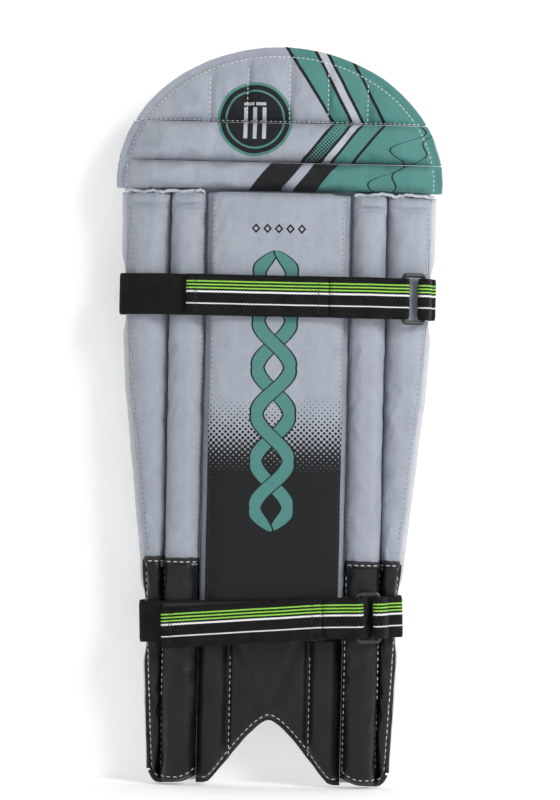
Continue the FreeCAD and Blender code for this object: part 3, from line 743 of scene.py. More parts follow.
def finish_rolls():
    for thing, word, side, outer, part, kind in pieces_to_finish:
        subdivided(thing)

        def seams(points, outer=outer, side=side):
            across, _ = wing_flat(points, side, outer)
            wide = edge_width(points[:, 2]) if outer else INNER
            yield across, points[:, 2]
            yield across - wide, points[:, 2] + 50
            yield points[:, 2] - KNEE, points[:, 0]
            if outer:
                yield across - wide, points[:, 2] * 1.3

        depth = 0.34 if part == "cloth" else 0.16
        seed = hash_of(thing.name)
        pucker(thing, seams, depth=depth, pitch=6.5, reach=4.0, seed=seed)
        if part == "cloth":
            pucker(thing, lambda at: [(at[:, 2] - GATHER - 7, at[:, 0])], 0.9, 4.6, 5.0, seed + 1)
            finished(thing, "grey", "grey_cloth", (f"{word}_{kind}_roll_cover",))
            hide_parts(f"{word}_{kind}_roll_core")
            carried(thing, f"{word}_wing")
        else:
            finished(thing, "vinyl", "black_vinyl", (f"{word}_{kind}_vinyl_cap",))
            moved(thing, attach, f"{word}_wing")


# ------------------------------------------------------------------ knee section
def hat_edge(x, z):
    """How far inside the dome's outline a point is, in millimetres."""
    return (1 - np.sqrt((x / HAT_HALF) ** 2 + ((z - HAT_CENTRE) / HAT_RISE) ** 2)) * 128.0


def knee_height(x, z, low, high, deep):
    """How far the knee section's front stands out over a row between two seams."""
    inside = hat_edge(x, z)
    span = np.clip((z - low) / (high - low), 0, 1)
    if high >= CROWN:
        rise = 0.42 + 0.58 * rounded(np.clip((z - low) / 13.0, 0, 1))
        for quilt in QUILT_X:
            rise = rise * (1 - 0.42 * hump(x - quilt, 3.4) - 0.14 * hump(x - quilt, 9.0))
    else:
        foot = 0.12 if low == KNEE else 0.36
        valley = np.where(span < 0.5, foot, 0.30)
        rise = valley + (1 - valley) * np.sqrt(np.clip(1 - np.abs(2 * span - 1) ** 2.8, 0, 1))
    rim = smooth((inside - 6.5) / 3.0) * 0.45 + smooth((inside - 8.0) / 22.0) * 0.55
    return 1.6 + (deep - 2.2) * np.maximum(rise, 0.04) * rim


def knee_row(name, low, high, deep, rows):
    """A quilted row of the dome, closed by a flat back. Returns it with its sewn-down points."""
    if high >= CROWN:
        start = math.asin((low - HAT_CENTRE) / HAT_RISE)
        zs = HAT_CENTRE + HAT_RISE * np.sin(np.linspace(start, math.pi / 2 - 0.05, rows))
    else:
        zs = np.linspace(low, high, rows)
    half = HAT_HALF * np.sqrt(np.clip(1 - ((zs - HAT_CENTRE) / HAT_RISE) ** 2, 0, 1)) - 0.3
    half = half + 0.7 * wave(zs / 7.0, 5) - 0.5
    x = half[:, None] * np.linspace(-1, 1, KNEE_COLS)[None, :]
    z = np.broadcast_to(zs[:, None], x.shape)
    thing = sheets(name, flat_front, x, knee_height(x, z, low, high, deep), np.full(x.shape, BACK), z)
    sewn = hat_edge(x, z) < 9.0
    sewn[[0, -1]] = True
    if high >= CROWN:
        for quilt in QUILT_X:
            sewn |= np.abs(x - quilt) < 1.3
    return thing, np.concatenate([sewn, np.ones(x.shape, bool)], 1)


KNEE_ROWS = (
    ("lower_knee_roll", "lower_knee_row", KNEE, MID, KNEE_DEEP, 9),
    ("upper_knee_roll", "upper_knee_row", MID, TOP, KNEE_DEEP, 12),
    ("top_hat", "top_hat", TOP, CROWN, HAT_DEEP, 26),
)


def build_knee():
    for node, body, low, high, deep, rows in KNEE_ROWS:
        thing, sewn = knee_row(f"{node}_quilt", low, high, deep - 3.0, rows=rows)
        inflate(thing, sewn, pressure=2.2, slack=0.018, cap=2.0)
        knee_things.append((thing, node, body, low, high))


def finish_knee():
    below = "shin_centre"
    for thing, node, body, low, high in knee_things:
        subdivided(thing)

        def seams(points, low=low, high=high):
            yield points[:, 2] - low, points[:, 0]
            yield points[:, 2] - high, points[:, 0] + 70
            yield hat_edge(points[:, 0], points[:, 2]) - 8, points[:, 0] + points[:, 2]
            if high >= CROWN:
                for quilt in QUILT_X:
                    yield (points[:, 0] - quilt) * 1.6, points[:, 2] + quilt

        deeper = 1.0 if low == KNEE else 0.8
        pucker(thing, seams, depth=deeper, pitch=5.5, reach=4.5, seed=hash_of(node))
        finished(thing, "knee", "grey_cloth", (f"{node}_cover", f"{node}_core"))
        moved(thing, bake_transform, below, body, start=(0, 0, low / 1000), end=(0, 0, (low + 9) / 1000))
        below = body


# ------------------------------------------------------------------ middle of the shin
def slab(name, half, low, high, back, front, crown, rounding, seed=3):
    """A flat stuffed panel with rounded rims and a slightly crowned face."""
    across, out = roll_section(30, 7, 7.0)
    zs = np.linspace(low, high, 90)
    grow = np.minimum(1, np.sqrt(np.clip(1 - (1 - np.minimum(zs - low, high - zs) / rounding) ** 2, 0, 1)))
    grow = np.where(np.minimum(zs - low, high - zs) > rounding, 1.0, np.maximum(grow, 0.05))
    x = half * across[None, :] * (1 + 0.004 * wave(zs / 40.0, seed))[:, None]
    deep = (front - back) * grow[:, None] * out[None, :]
    dome = crown * (1 - (x / half) ** 2) * (out[None, :] > 0.02)
    y = -(back + deep - crown * (out[None, :] > 0.02) * grow[:, None] + dome * grow[:, None])
    z = np.broadcast_to(zs[:, None], x.shape)
    points = np.stack([x, y, z], -1)
    thing = grid(name, points, uv=np.stack([x, z], -1))
    sewn = np.broadcast_to(out[None, :] < 0.75, x.shape).copy()
    sewn[[0, -1]] = True
    return thing, sewn


def build_instep():
    """The vinyl tongue between the rolls, arched over the foot."""
    cols, rows = 44, 34
    u = np.linspace(-1, 1, cols)
    low_edge = notch_height(u * MIDDLE_HALF)
    t = np.linspace(0, 1, rows)
    z = low_edge[None, :] * (1 - t[:, None]) + INSTEP_TOP * t[:, None]
    x = np.broadcast_to(u[None, :] * MIDDLE_HALF, z.shape)
    foot = np.clip((z - low_edge[None, :]) / 9.0, 0, 1)
    across = np.abs(x + 1.5) - INSTEP_SEAM
    side_roll = np.sqrt(np.clip(1 - np.abs(2 * across / (MIDDLE_HALF - INSTEP_SEAM) - 1) ** 2.4, 0, 1))
    middle = 0.50 + 0.16 * np.sqrt(np.clip(-across / INSTEP_SEAM, 0, 1))
    rise = np.where(across > 0, np.maximum(side_roll, 0.30 * (across < 14)), middle)
    rise = rise - 0.18 * hump(across, 2.2)
    rise = rise * (0.22 + 0.78 * rounded(foot))
    crease = 1.8 * hump(np.abs(x + 2) - (z - 62) * 0.42, 4.0) * smooth((z - 60) / 20)
    out = 1.0 + INSTEP_RISE * rise - crease + 0.4 * wave(x / 14.0 + z / 21.0, 8)
    return sheets("instep_vinyl", flat_front, x, out, np.full(z.shape, BACK), z, mapped=False)


def build_middle():
    panel, sewn = slab("centre_panel", 58.6, 128.0, 521.5, 12.0, 22.6, 1.2, 5.0)
    inflate(panel, sewn, pressure=1.2, slack=0.012, cap=1.0)
    pocket, _ = slab("cane_pocket_cloth", MIDDLE_HALF, 131.0, 522.0, 0.6, 11.2, 0.0, 4.0, seed=5)
    return panel, pocket, build_instep()


def finish_middle(panel, pocket, instep):
    subdivided(panel)
    subdivided(instep)

    def panel_seams(points):
        yield np.abs(points[:, 0]) - 58, points[:, 2]
        yield points[:, 2] - 521, points[:, 0]

    pucker(panel, panel_seams, depth=0.28, pitch=7.0, reach=4.0, seed=21)
    pucker(instep, lambda p: [(np.abs(p[:, 0]) - 62, p[:, 2])], depth=0.4, pitch=6.0, seed=31)
    for thing, finish, slot, nodes in (
        (panel, "panel", "grey_cloth", ("centre_panel_cover", "centre_panel_foam")),
        (pocket, "grey", "grey_cloth", ("cane_pocket", "cane_rods")),
        (instep, "vinyl", "black_vinyl", ("instep_cover", "instep_foam")),
    ):
        finished(thing, finish, slot, nodes)
        moved(thing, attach, "shin_centre")


# ------------------------------------------------------------------ tapes and sewn edges
def flat_front(across, out, z):
    """Places points of the middle and the knee, which lie square to the front."""
    across, out, z = np.broadcast_arrays(across, out, z)
    return np.stack([across, -out, z], -1)


def whole_wing(side):
    """Places points given across a whole wing, from its hinge to its outer edge."""

    def put(across, out, z):
        across, out, z = np.broadcast_arrays(across, out, z)
        near = wing(side, False, across, out, z)
        far = wing(side, True, across - INNER, out, z)
        return np.where((across < INNER)[..., None], near, far)

    return put


def resampled(path, pitch):
    """A path with points about pitch apart."""
    path = np.asarray(path, float)
    run = run_along(path)
    at = np.linspace(0, run[-1], max(2, int(round(run[-1] / pitch)) + 1))
    return np.stack([np.interp(at, run, path[:, k]) for k in range(path.shape[1])], 1)


def strip(name, put, path, wide, low, high, finish, wobble, pitch=3.0, slot="binding_tape", nodes=()):
    """A tape along a flat path of (across, z), from depth low to depth high, with rounded edges."""
    path = resampled(path, pitch)
    step = unit(np.gradient(path, axis=0))
    side = np.stack([-step[:, 1], step[:, 0]], 1)
    run = np.arange(len(path)) * pitch
    seed = hash_of(name)
    angle = np.linspace(0, 2 * math.pi, 14, endpoint=False)
    wide_part = np.sign(np.cos(angle)) * np.abs(np.cos(angle)) ** 0.6 * wide / 2
    deep_part = np.sign(np.sin(angle)) * np.abs(np.sin(angle)) ** 0.6
    shift = wobble * wave(run / 9.0, seed)
    swell = 1 + 0.25 * wobble * wave(run / 5.0, seed + 3)
    across = path[:, 0, None] + side[:, 0, None] * (wide_part[None] + shift[:, None])
    z = path[:, 1, None] + side[:, 1, None] * (wide_part[None] + shift[:, None])
    out = (low + high) / 2 + (high - low) / 2 * deep_part[None] * swell[:, None]
    uv = np.stack(np.broadcast_arrays(run[:, None], wide_part[None] + 0.0), -1)
    thing = grid(name, put(across, out, z), uv=uv)
    facing_out(thing)
    finished(thing, finish, slot, nodes)
    return thing


def facing_out(thing):
    """Turns the faces of a closed mesh outwards."""
    mesh = bmesh.new()
    mesh.from_mesh(thing.data)
    bmesh.ops.recalc_face_normals(mesh, faces=mesh.faces)
    mesh.to_mesh(thing.data)
    mesh.free()


def edge_path(z_low, z_high, beyond):
    """A wing's outer edge, as (across, z) over the whole wing, moved outwards by beyond."""
    zs = np.arange(z_low, z_high, 4.0)
    return np.stack([INNER + edge_width(zs) + beyond, zs], 1)


def dome_path(inset, low=TOP + 1):
    """The dome's outline, taken in by inset, from the left end of its seam to the right."""
    half, rise = HAT_HALF - inset, HAT_RISE - inset
    start = math.asin((low - HAT_CENTRE) / rise)
    angle = np.linspace(math.pi - start, start, 90)
    return np.stack([half * np.cos(angle), HAT_CENTRE + rise * np.sin(angle)], 1)


def whole_lift(across):
    """How far the lower edge of the vinyl curves up, by place across a whole wing."""
    return np.where(across < INNER, bottom_lift(across, False), bottom_lift(across - INNER, True))


def toe_path():
    """The lower edge of a wing's vinyl, as (across, z) over the whole wing, round to its outer side."""
    across = np.linspace(0.6, INNER + 9.6, 34)
    return np.stack([across, 2.6 + whole_lift(across)], 1)


def notch_height(x):
    """The lower edge of the vinyl between the wings, arched over the foot."""
    return 3.2 + 56.0 * np.clip(1 - (np.abs(x) / 55.0) ** 1.55, 0, 1) ** 1.25


def notch_path(count=40):
    x = np.linspace(-63.4, 63.4, count)
    return np.stack([x, notch_height(x)], 1)


def pinched(side):
    """Places points on a whole wing, its edge squeezed in where the straps run round it."""
    put = whole_wing(side)

    def squeeze(across, out, z):
        edge = INNER + edge_width(z)
        near = 0.0
        for spec in STRAP.values():
            level = spec["at"] + side * 110.0 * math.sin(spec["slant"])
            near = near + np.exp(-(((z - level) / 30.0) ** 6))
        return put(np.where(across > edge, edge + (across - edge) * (1 - 0.6 * near), across), out, z)

    return squeeze


def build_edges():
    for word, side in SIDES.items():
        put = pinched(side)
        edge = edge_path(12, 521, 3.1)
        nodes = (f"{word}_edge_binding",)
        tape = strip(f"{word}_edge_tape", put, edge, 6.2, -3.0, 0.6, "tape", 0.3, nodes=nodes)
        carried(tape, f"{word}_wing")
        zs = np.concatenate([np.arange(3.0, 14, 2.5), np.arange(16, CAP_TOP, 5.0), [CAP_TOP]])
        far = INNER + np.interp(zs, (0, 12, CAP_TOP), (9.4, 11.4, EDGE_WIDE[3] + 2.4))
        columns = np.linspace(0, 1, 14)
        across = -0.2 + (far[:, None] + 0.2) * columns[None]
        z = zs[:, None] + whole_lift(across) * np.clip(1 - zs / TOE_END, 0, 1)[:, None]
        faces = np.full(z.shape, 0.75), np.full(z.shape, -0.2)
        base = sheets(f"{word}_vinyl_base", put, across, *faces, z, mapped=False)
        facing_out(base)
        finished(base, "vinyl", "black_vinyl")
        toe = strip(f"{word}_toe_binding", put, toe_path(), 5.0, -3.0, 2.3, "black_tape", 0.45, 2.5)
        rim_path = edge_path(12, CAP_TOP, 2.4)
        rim_path[:, 0] += np.interp(rim_path[:, 1], (12, CAP_TOP), (1.2, -0.4))
        rim = strip(f"{word}_vinyl_rim", put, rim_path, 3.4, -0.4, 1.5, "black_tape", 0.3)
        bands = [cap_band(word, side, kind, outer) for kind, outer in KINDS]
        for thing in (base, toe, rim, *bands):
            moved(thing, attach, f"{word}_wing")
    notch = strip("notch_binding", flat_front, notch_path(), 4.6, -3.0, 3.2, "black_tape", 0.4, 2.5)
    moved(notch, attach, "shin_centre")
    nodes = ("top_hat_binding",)
    dome = strip("top_hat_tape", flat_front, dome_path(3.1), 6.0, -3.0, 0.9, "tape", 0.35, nodes=nodes)
    moved(dome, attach, "top_hat")


def frilled(put, amount, seed):
    """Places points as put does, with a frill's ripples."""

    def ripple(across, out, z):
        lift = 0.8 * amount * wave(across / 3.1, seed + 1)
        return put(across, out + amount * wave(across / 2.4, seed), z + lift)

    return ripple


def build_frills():
    """The gathered selvage along the rolls' tops, and the cloth that joins the knee to the shin."""
    for word, side in SIDES.items():
        far = INNER + EDGE_WIDE[-1] + 1.0
        put = whole_wing(side)
        path = np.stack([np.linspace(0.8, far, 40), np.full(40, 521.0)], 1)
        path[:, 1] += 1.1 * wave(path[:, 0] / 4.5, hash_of(word))
        put = frilled(put, 1.3, 7)
        frill = strip(f"{word}_roll_frill", put, path, 2.9, 10.8, 12.8, "frill", 0.8, 1.2, "grey_cloth")
        carried(frill, f"{word}_wing")
    line = [(-133.0, KNEE), (133.0, KNEE)]
    joint = strip("knee_hinge_cloth", flat_front, line, 5.0, -1.6, 1.4, "grey", 0.1, 4.0, "grey_cloth")
    moved(joint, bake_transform, "shin_centre", "lower_knee_row", start=(0, 0, 0.521), end=(0, 0, 0.5255))


def cap_band(word, side, kind, outer):
    """The turned-in top edge of a vinyl cap, a dark band over the roll."""
    wide = edge_width(CAP_TOP) - 0.6 if outer else INNER - 0.3
    deep = roll_depth(wide, outer)
    across, out = roll_section(26, 0)
    rows = []
    for dz, grow in (
        (-3.4, 0.9), (-3.2, 1.7), (-1.6, 2.1), (0.0, 2.1), (1.6, 1.9), (2.2, 1.2), (2.2, -0.6), (-3.4, -0.6),
    ):
        z = CAP_TOP + dz + 0.7 * wave(across * 3.0, 11) + (0.6 if outer else 0.0)
        place = 0.35 + wide / 2 + (wide / 2 + grow * 0.2) * across
        rows.append(wing(side, outer, place, 0.4 + (deep + 0.7 + grow) * out, z))
    band = grid(f"{word}_{kind}_cap_band", np.array(rows).transpose(1, 0, 2))
    facing_out(band)
    subdivided(band)
    finished(band, "black_tape", "black_vinyl")
    return band


# ------------------------------------------------------------------ the back: backings, lining, bolsters
def backing(name, put, rows, near, far, body, nodes, grooves=(), thick=2.9, start=0.0, cols=40, skirt=2.2):
    """A padded cloth layer on the back, thin at its sewn border and along its stitched grooves."""
    near = np.broadcast_to(near, rows.shape)[:, None]
    far = np.broadcast_to(far, rows.shape)[:, None]
    t = 0.5 - 0.5 * np.cos(np.linspace(0, math.pi, cols))
    across = near + (far - near) * (0.35 * t + 0.65 * np.linspace(0, 1, cols))[None]
    z = np.broadcast_to(rows[:, None], across.shape)
    border = np.minimum(np.minimum(across - near, far - across), np.minimum(z - rows[0], rows[-1] - z) + 0.2)
    body_part = rounded(np.clip(border / skirt, 0, 1))
    for line in grooves:
        body_part = body_part * (1 - 0.75 * hump(across - line, 1.6) - 0.2 * hump(across - line, 6.0))
    seed = hash_of(name)
    uneven = 0.10 * wave(across / 11.0 + z / 37.0, seed) + 0.08 * wave(z / 8.0, seed + 2)
    full = thick * (0.22 + 0.78 * np.maximum(body_part, 0)) * (1 + 0.5 * uneven)
    behind = -(start + np.maximum(0.5, full - 0.1))
    thing = sheets(name, put, across, behind, np.full(across.shape, -start), z)
    facing_out(thing)
    finished(thing, "lining", "pale_lining", nodes)
    carried(thing, body)


def build_bolsters():
    """The stuffed bolsters on the back, before the cloth simulation."""
    end = np.array([0.3, 2, 5, 9, 14])
    between = np.arange(LINING_LOW + 19, LINING_HIGH - 18, 5.0)
    zs = np.concatenate([LINING_LOW + end, between, LINING_HIGH - end[::-1]])
    for word, side in SIDES.items():
        grow = np.maximum(end_taper(zs, LINING_LOW, LINING_HIGH, 15, 15), 0.08)
        how = dict(start=BOLSTER_OUT, face=-1, flip=side < 0)
        name = f"{word}_back_bolster"
        thing, sewn = tube(name, whole_wing(side), zs, BOLSTER_NEAR, BOLSTER_FAR, 17.2, grow, **how)
        inflate(thing, sewn, pressure=2.6, slack=0.012, cap=1.8)
        bolsters.append((thing, f"{word}_wing", (f"{word}_bolster_cover", f"{word}_bolster_wadding")))
    xs = np.concatenate([[-91.6, -90, -87, -83], np.arange(-78, 79, 5.0), [83, 87, 90, 91.6]])
    grow = np.maximum(end_taper(xs, -KNEE_BOLSTER_END, KNEE_BOLSTER_END, 13, 13), 0.08)

    def across_knee(up, out, along):
        return flat_front(along, out, KNEE_BOLSTER_LOW + up)

    how = dict(start=BOLSTER_OUT, face=-1, flip=True)
    thing, sewn = tube("knee_back_bolster", across_knee, xs, 0.0, 23.8, 15.4, grow, **how)
    inflate(thing, sewn, pressure=2.6, slack=0.012, cap=1.6)
    bolsters.append((thing, "upper_knee_row", ("knee_bolster",)))


def finish_bolsters():
    for thing, body, nodes in bolsters:
        facing_out(thing)
        subdivided(thing)
        upright = body.endswith("_wing")

        def seams(points, upright=upright):
            along = points[:, 2 if upright else 0]
            for end in (LINING_LOW, LINING_HIGH) if upright else (-KNEE_BOLSTER_END, KNEE_BOLSTER_END):
                yield (along - end) * 0.6, points[:, 0] + points[:, 1] + points[:, 2]
            yield np.abs(points[:, 1] - 3.6), along

        pucker(thing, seams, depth=0.34, pitch=6.0, reach=4.5, seed=hash_of(thing.name), only_front=False)
        finished(thing, "lining", "pale_lining", nodes)
        carried(thing, body)


def knee_half(zs, inset=0.0):
    return (HAT_HALF - inset) * np.sqrt(np.clip(1 - ((zs - HAT_CENTRE) / (HAT_RISE - inset)) ** 2, 0, 1))


def build_back():
    for word, side in SIDES.items():
        zs = np.concatenate([np.linspace(3.2, 14, 5), np.arange(18, 517, 6.0), [520.8, 522.7]])
        far = INNER + edge_width(zs)
        nodes = (f"{word}_wing_backing",)
        backing(f"{word}_wing_back_cloth", whole_wing(side), zs, 0.05, far, f"{word}_wing", nodes, (INNER,))
    zs = np.concatenate([np.arange(64, 517, 6.0), [520.8, 522.7]])
    nodes = ("middle_backing",)
    backing("middle_back_cloth", flat_front, zs, -MIDDLE_EDGE, MIDDLE_EDGE, "shin_centre", nodes)
    arch_cloth()
    zs = np.concatenate([[112.4, 113.4, 115], np.arange(119, 494, 6.0), [497, 498.6, 499.6]])
    how = dict(thick=5.0, start=3.1, cols=90, skirt=4.0)
    nodes = ("shin_lining",)
    backing("quilted_lining", flat_front, zs, -55.8, 55.8, "shin_centre", nodes, LINING_LINES, **how)
    for node, body, low, high, _, _ in KNEE_ROWS[:2]:
        zs = np.linspace(low + SEAM_CLEAR, high - SEAM_CLEAR, 16)
        half = knee_half(zs)
        backing(f"{node}_back_cloth", flat_front, zs, -half, half, body, (f"{node}_backing",), cols=90)
    rise = HAT_RISE - 6
    zs = HAT_CENTRE + rise * np.sin(np.linspace(math.asin((TOP + SEAM_CLEAR - HAT_CENTRE) / rise), 1.52, 26))
    half = knee_half(zs, 6.2)
    nodes = ("top_hat_backing",)
    backing("top_hat_back_cloth", flat_front, zs, -half, half, "top_hat", nodes, QUILT_X, cols=90)


def arch_cloth():
    """The backing cloth below the arch's peak, one leg each side of the notch."""
    for word, side in SIDES.items():
        path = notch_path(80)
        path = path[path[:, 0] >= 0]
        rows = np.linspace(4.4, 63.9, 20)
        inside = np.interp(rows - 1.2, path[::-1, 1], path[::-1, 0])
        edge = np.full(20, side * MIDDLE_EDGE)
        near, far = (inside, edge) if side > 0 else (edge, -inside)
        name = f"{word}_arch_back_cloth"
        backing(name, flat_front, rows, near, far, "shin_centre", (), cols=16, skirt=0.01)


# ------------------------------------------------------------------ thread
def surface(*things):
    """The given pieces as one surface to press thread on, in millimetres."""
    points, faces = [], []
    for thing in things:
        first = len(points)
        points += coords(thing).tolist()
        faces += [[first + i for i in face.vertices] for face in thing.data.polygons]
    return BVHTree.FromPolygons(points, faces)


def thread(name, paths, on, finish="thread", pitch=4.2, length=2.7, thick=0.42, behind=False, proud=0.25):
    """Stitches along paths of (x, z), each a short bowed thread pressed on a surface."""
    sides, steps = 6, 6
    points, faces = [], []
    toward = -1 if behind else 1
    rng = np.random.default_rng(hash_of(name))
    for path in paths:
        path = resampled(path, 1.0)
        run = run_along(path)
        for k in range(int(run[-1] / pitch)):
            start = k * pitch + rng.uniform(-0.15, 0.15)
            at = start + np.linspace(0, length, steps)
            flat = np.stack([np.interp(at, run, path[:, 0]), np.interp(at, run, path[:, 1])], 1)
            line = []
            for (x, z), rise in zip(flat, np.sin(np.linspace(0.0, math.pi, steps))):
                hit = on.ray_cast((x, -90.0 * toward, z), (0, toward, 0))[0]
                if hit is None:
                    break
                line.append(np.array(hit) + np.array([0, -toward, 0]) * (proud * rise - 0.12))
            if len(line) < steps:
                continue
            line = np.array(line)
            ahead = unit(np.gradient(line, axis=0), 1e-6)
            aside = unit(np.cross(ahead, np.array([0.0, -toward, 0.0])), 1e-6)
            lift = np.cross(aside, ahead)
            first = len(points)
            for i in range(steps):
                size = thick * (0.55 + 0.45 * math.sin(math.pi * (i + 0.5) / steps))
                size *= 0.35 if i in (0, steps - 1) else 1
                for a in range(sides):
                    turn = 2 * math.pi * a / sides
                    point = line[i] + aside[i] * size * math.cos(turn)
                    points.append(point + lift[i] * size * math.sin(turn))
            for i in range(steps - 1):
                for a in range(sides):
                    b = (a + 1) % sides
                    one, two = first + i * sides, first + (i + 1) * sides
                    faces.append([one + a, one + b, two + b, two + a])
            faces.append([first + a for a in range(sides)][::-1])
            faces.append([first + (steps - 1) * sides + a for a in range(sides)])
    thing = make(name, points, faces)
    facing_out(thing)
    dress(thing, finish)
    return thing


def sew(name, paths, hosts, **how):
    """Thread sewn through the first host, and pressed on whichever host is foremost."""
    thing = thread(name, [np.asarray(path, float) for path in paths], surface(*hosts), **how)
    call, bodies, ends = moves[hosts[0].name]
    call(thing, *bodies, **ends)


def on_wing(side, path, out=0.0):
    """A path given across a whole wing, as seen from the front: (x, z)."""
    path = np.asarray(path, float)
    return whole_wing(side)(path[:, 0], out, path[:, 1])[:, (0, 2)]


def upright(x, low, high):
    return [(x, low), (x, high)]


WHITE = dict(pitch=5.6, length=3.5, thick=0.42)
FINE = dict(pitch=4.4, length=3.0, thick=0.34, behind=True)
WING_HOSTS = (
    "inner_cloth_roll", "outer_cloth_roll",
    "vinyl_base", "inner_vinyl_roll", "outer_vinyl_roll", "toe_binding", "vinyl_rim",
)


def sew_front(named):
    for node, _, low, high, _, _ in KNEE_ROWS:
        host = named[f"{node}_quilt"]
        paths = []
        if node == "top_hat":
            paths.append(dome_path(8.6, TOP + 3))
            paths.append([(-HAT_HALF + 20, TOP + 1.2), (HAT_HALF - 20, TOP + 1.2)])
            for x in QUILT_X:
                top = HAT_CENTRE + (HAT_RISE - 11) * math.sqrt(1 - (x / 136) ** 2)
                paths.append(upright(x, TOP + 3, top))
        else:
            zs = np.linspace(low + 2, high - 2, 8)
            half = knee_half(zs, 8.6)
            paths += [np.stack([side * half, zs], 1) for side in (-1, 1)]
        sew(f"{node}_thread", paths, [host])
    for word, side in SIDES.items():
        inner, outer, *hosts = (named[f"{word}_{kind}"] for kind in WING_HOSTS)
        # Needle holes along the roll seams: short dark bits that paint the shade in the holes
        holes = dict(finish="dark_thread", pitch=4.4, length=1.3, thick=0.38, proud=0.15)
        sew(f"{word}_edge_thread", [on_wing(side, edge_path(206, 512, -2.2))], [outer], **holes)
        sew(f"{word}_hinge_thread", [on_wing(side, upright(2.0, 206, 512))], [inner], **holes)
        lines = [upright(INNER + 0.6, 16, CAP_TOP - 6), edge_path(14, CAP_TOP - 5, 0.9)]
        if side > 0:
            lines.append(upright(1.4, 14, CAP_TOP - 6))
        lines = [on_wing(side, line) for line in lines + [toe_path() + np.array([0, 4.2])]]
        sew(f"{word}_vinyl_thread", lines, hosts, **WHITE)
        bands = [named[f"{word}_{kind}_cap_band"] for kind in ("inner", "outer")]
        across = np.linspace(1.5, INNER + edge_width(CAP_TOP) - 1.5, 30)
        line = on_wing(side, np.stack([across, np.full(30, CAP_TOP - 1.4)], 1), 12.0)
        sew(f"{word}_cap_thread", [line], bands, **WHITE)
    path = notch_path()
    path[:, 1] += 3.4
    lines = [upright(x, 26, 118) for x in (-INSTEP_SEAM, INSTEP_SEAM)]
    sew("instep_thread", [path] + lines, [named["instep_vinyl"], named["notch_binding"]], **WHITE)
    sides = [upright(x, 126, 518) for x in (-56.6, 56.6)]
    how = dict(finish="dark_thread", pitch=4.6, length=2.0, thick=0.3, proud=0.1)
    sew("panel_thread", sides, [named["centre_panel"]], **how)
    for which, spec in STRAP.items():
        lines = []
        for x in (-spec["tail"] + 7, -spec["tail"] + 9, PEEL - 9):
            level = spec["at"] + x * math.tan(spec["slant"]) - tail_drop(which, x)
            lines.append(upright(x, level - 15, level + 15))
        how = dict(finish="black_tape", pitch=2.4, length=2.0, thick=0.34)
        sew(f"{which}_tail_thread", lines, [named[f"{which}_tail_run"]], **how)


def sew_back(named):
    lines = [upright(x, 116, 496) for x in (*LINING_LINES, -53.5, 53.5)]
    lines += [[(-52, level), (52, level)] for level in (114.6, 497.4)]
    sew("lining_thread", lines, [named["quilted_lining"]], **FINE)
    for word, side in SIDES.items():
        lines = [on_wing(side, path) for path in (edge_path(8, 516, -2.6), upright(INNER + 0.2, 8, 516))]
        sew(f"{word}_back_thread", lines, [named[f"{word}_wing_back_cloth"]], **FINE)
        node = frame["nodes"][f"{word}_anchor_patches"]
        at = {}
        for x, _, z in coords(node):
            at.setdefault("upper" if z > 300 else "lower", []).append((x, z))
        paths = []
        for corners in at.values():
            (x0, z0), (x1, z1) = np.min(corners, 0) + 1.8, np.max(corners, 0) - 1.8
            paths.append([(x0, z0), (x1, z0), (x1, z1), (x0, z1), (x0, z0)])
            paths += [[(x0, z0), (x1, z1)], [(x0, z1), (x1, z0)]]
        moves[node.name] = (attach, (f"{word}_wing",), {})
        sew(f"{word}_anchor_thread", paths, [node], pitch=3.4, length=2.4, thick=0.36, behind=True)
    lines = [dome_path(9.0, TOP + 3)] + [upright(x, TOP + 3, TOP + 20) for x in QUILT_X]
    sew("hat_back_thread", lines, [named["top_hat_back_cloth"]], **FINE)
    lines = [upright(x, 68, 518) for x in (-61.6, 61.6)]
    sew("middle_back_thread", lines, [named["middle_back_cloth"]], **FINE)


# ------------------------------------------------------------------ webbing
def bend_path(points, radii):
    """Points along straight runs joined by arcs, closely spaced on the arcs."""
    points = [np.asarray(p, float) for p in points]
    made = [points[0]]
    for i in range(1, len(points) - 1):
        before = points[i - 1] - points[i]
        after = points[i + 1] - points[i]
        before /= np.linalg.norm(before)
        after /= np.linalg.norm(after)
        half = math.acos(np.clip(before @ after, -1, 1)) / 2
        reach = radii[i] / math.tan(half) if radii[i] else 0
        if reach < 1e-6:
            made.append(points[i])
            continue
        middle = points[i] + (before + after) / np.linalg.norm(before + after) * radii[i] / math.sin(half)
        start = points[i] + before * reach
        end = points[i] + after * reach
        a0 = math.atan2(*(start - middle)[::-1])
        a1 = math.atan2(*(end - middle)[::-1])
        turn = (a1 - a0 + math.pi) % (2 * math.pi) - math.pi
        for t in np.linspace(0, 1, 9):
            made.append(middle + radii[i] * np.array([math.cos(a0 + turn * t), math.sin(a0 + turn * t)]))
    made.append(points[-1])
    filled = [made[0]]
    for a, b in zip(made, made[1:]):
        count = max(1, int(np.linalg.norm(b - a) // 4.0))
        for t in range(1, count + 1):
            filled.append(a + (b - a) * t / count)
    keep = [filled[0]] + [b for a, b in zip(filled, filled[1:]) if np.linalg.norm(b - a) > 1e-3]
    return np.array(keep)


def route(which):
    """The plan points of a strap on the right wing, with the ring's place, as part.py works them out."""
    outer = STRAP[which]["outer"]
    side = outer + 4.4
    start = np.array([HINGE + 1, -LIFT])
    crease = wing(1, False, INNER, LIFT, 0.0)[:2]
    round_edge = ((outer + 1.2, 21.2), (side, 6.0), (side, -4.2), (2.1, -4.2))
    points = [start, crease] + [wing(1, True, *place, 0.0)[:2] for place in round_edge]
    first = crease - start
    second = points[2] - crease
    distance = STRAP[which]["ring"]
    length = np.linalg.norm(first)
    if distance < length:
        ahead = first / length
        ring = start + ahead * distance
    else:
        ahead = second / np.linalg.norm(second)
        ring = crease + ahead * (distance - length)
    return points, ring, ahead, np.array([ahead[1], -ahead[0]]), distance >= length


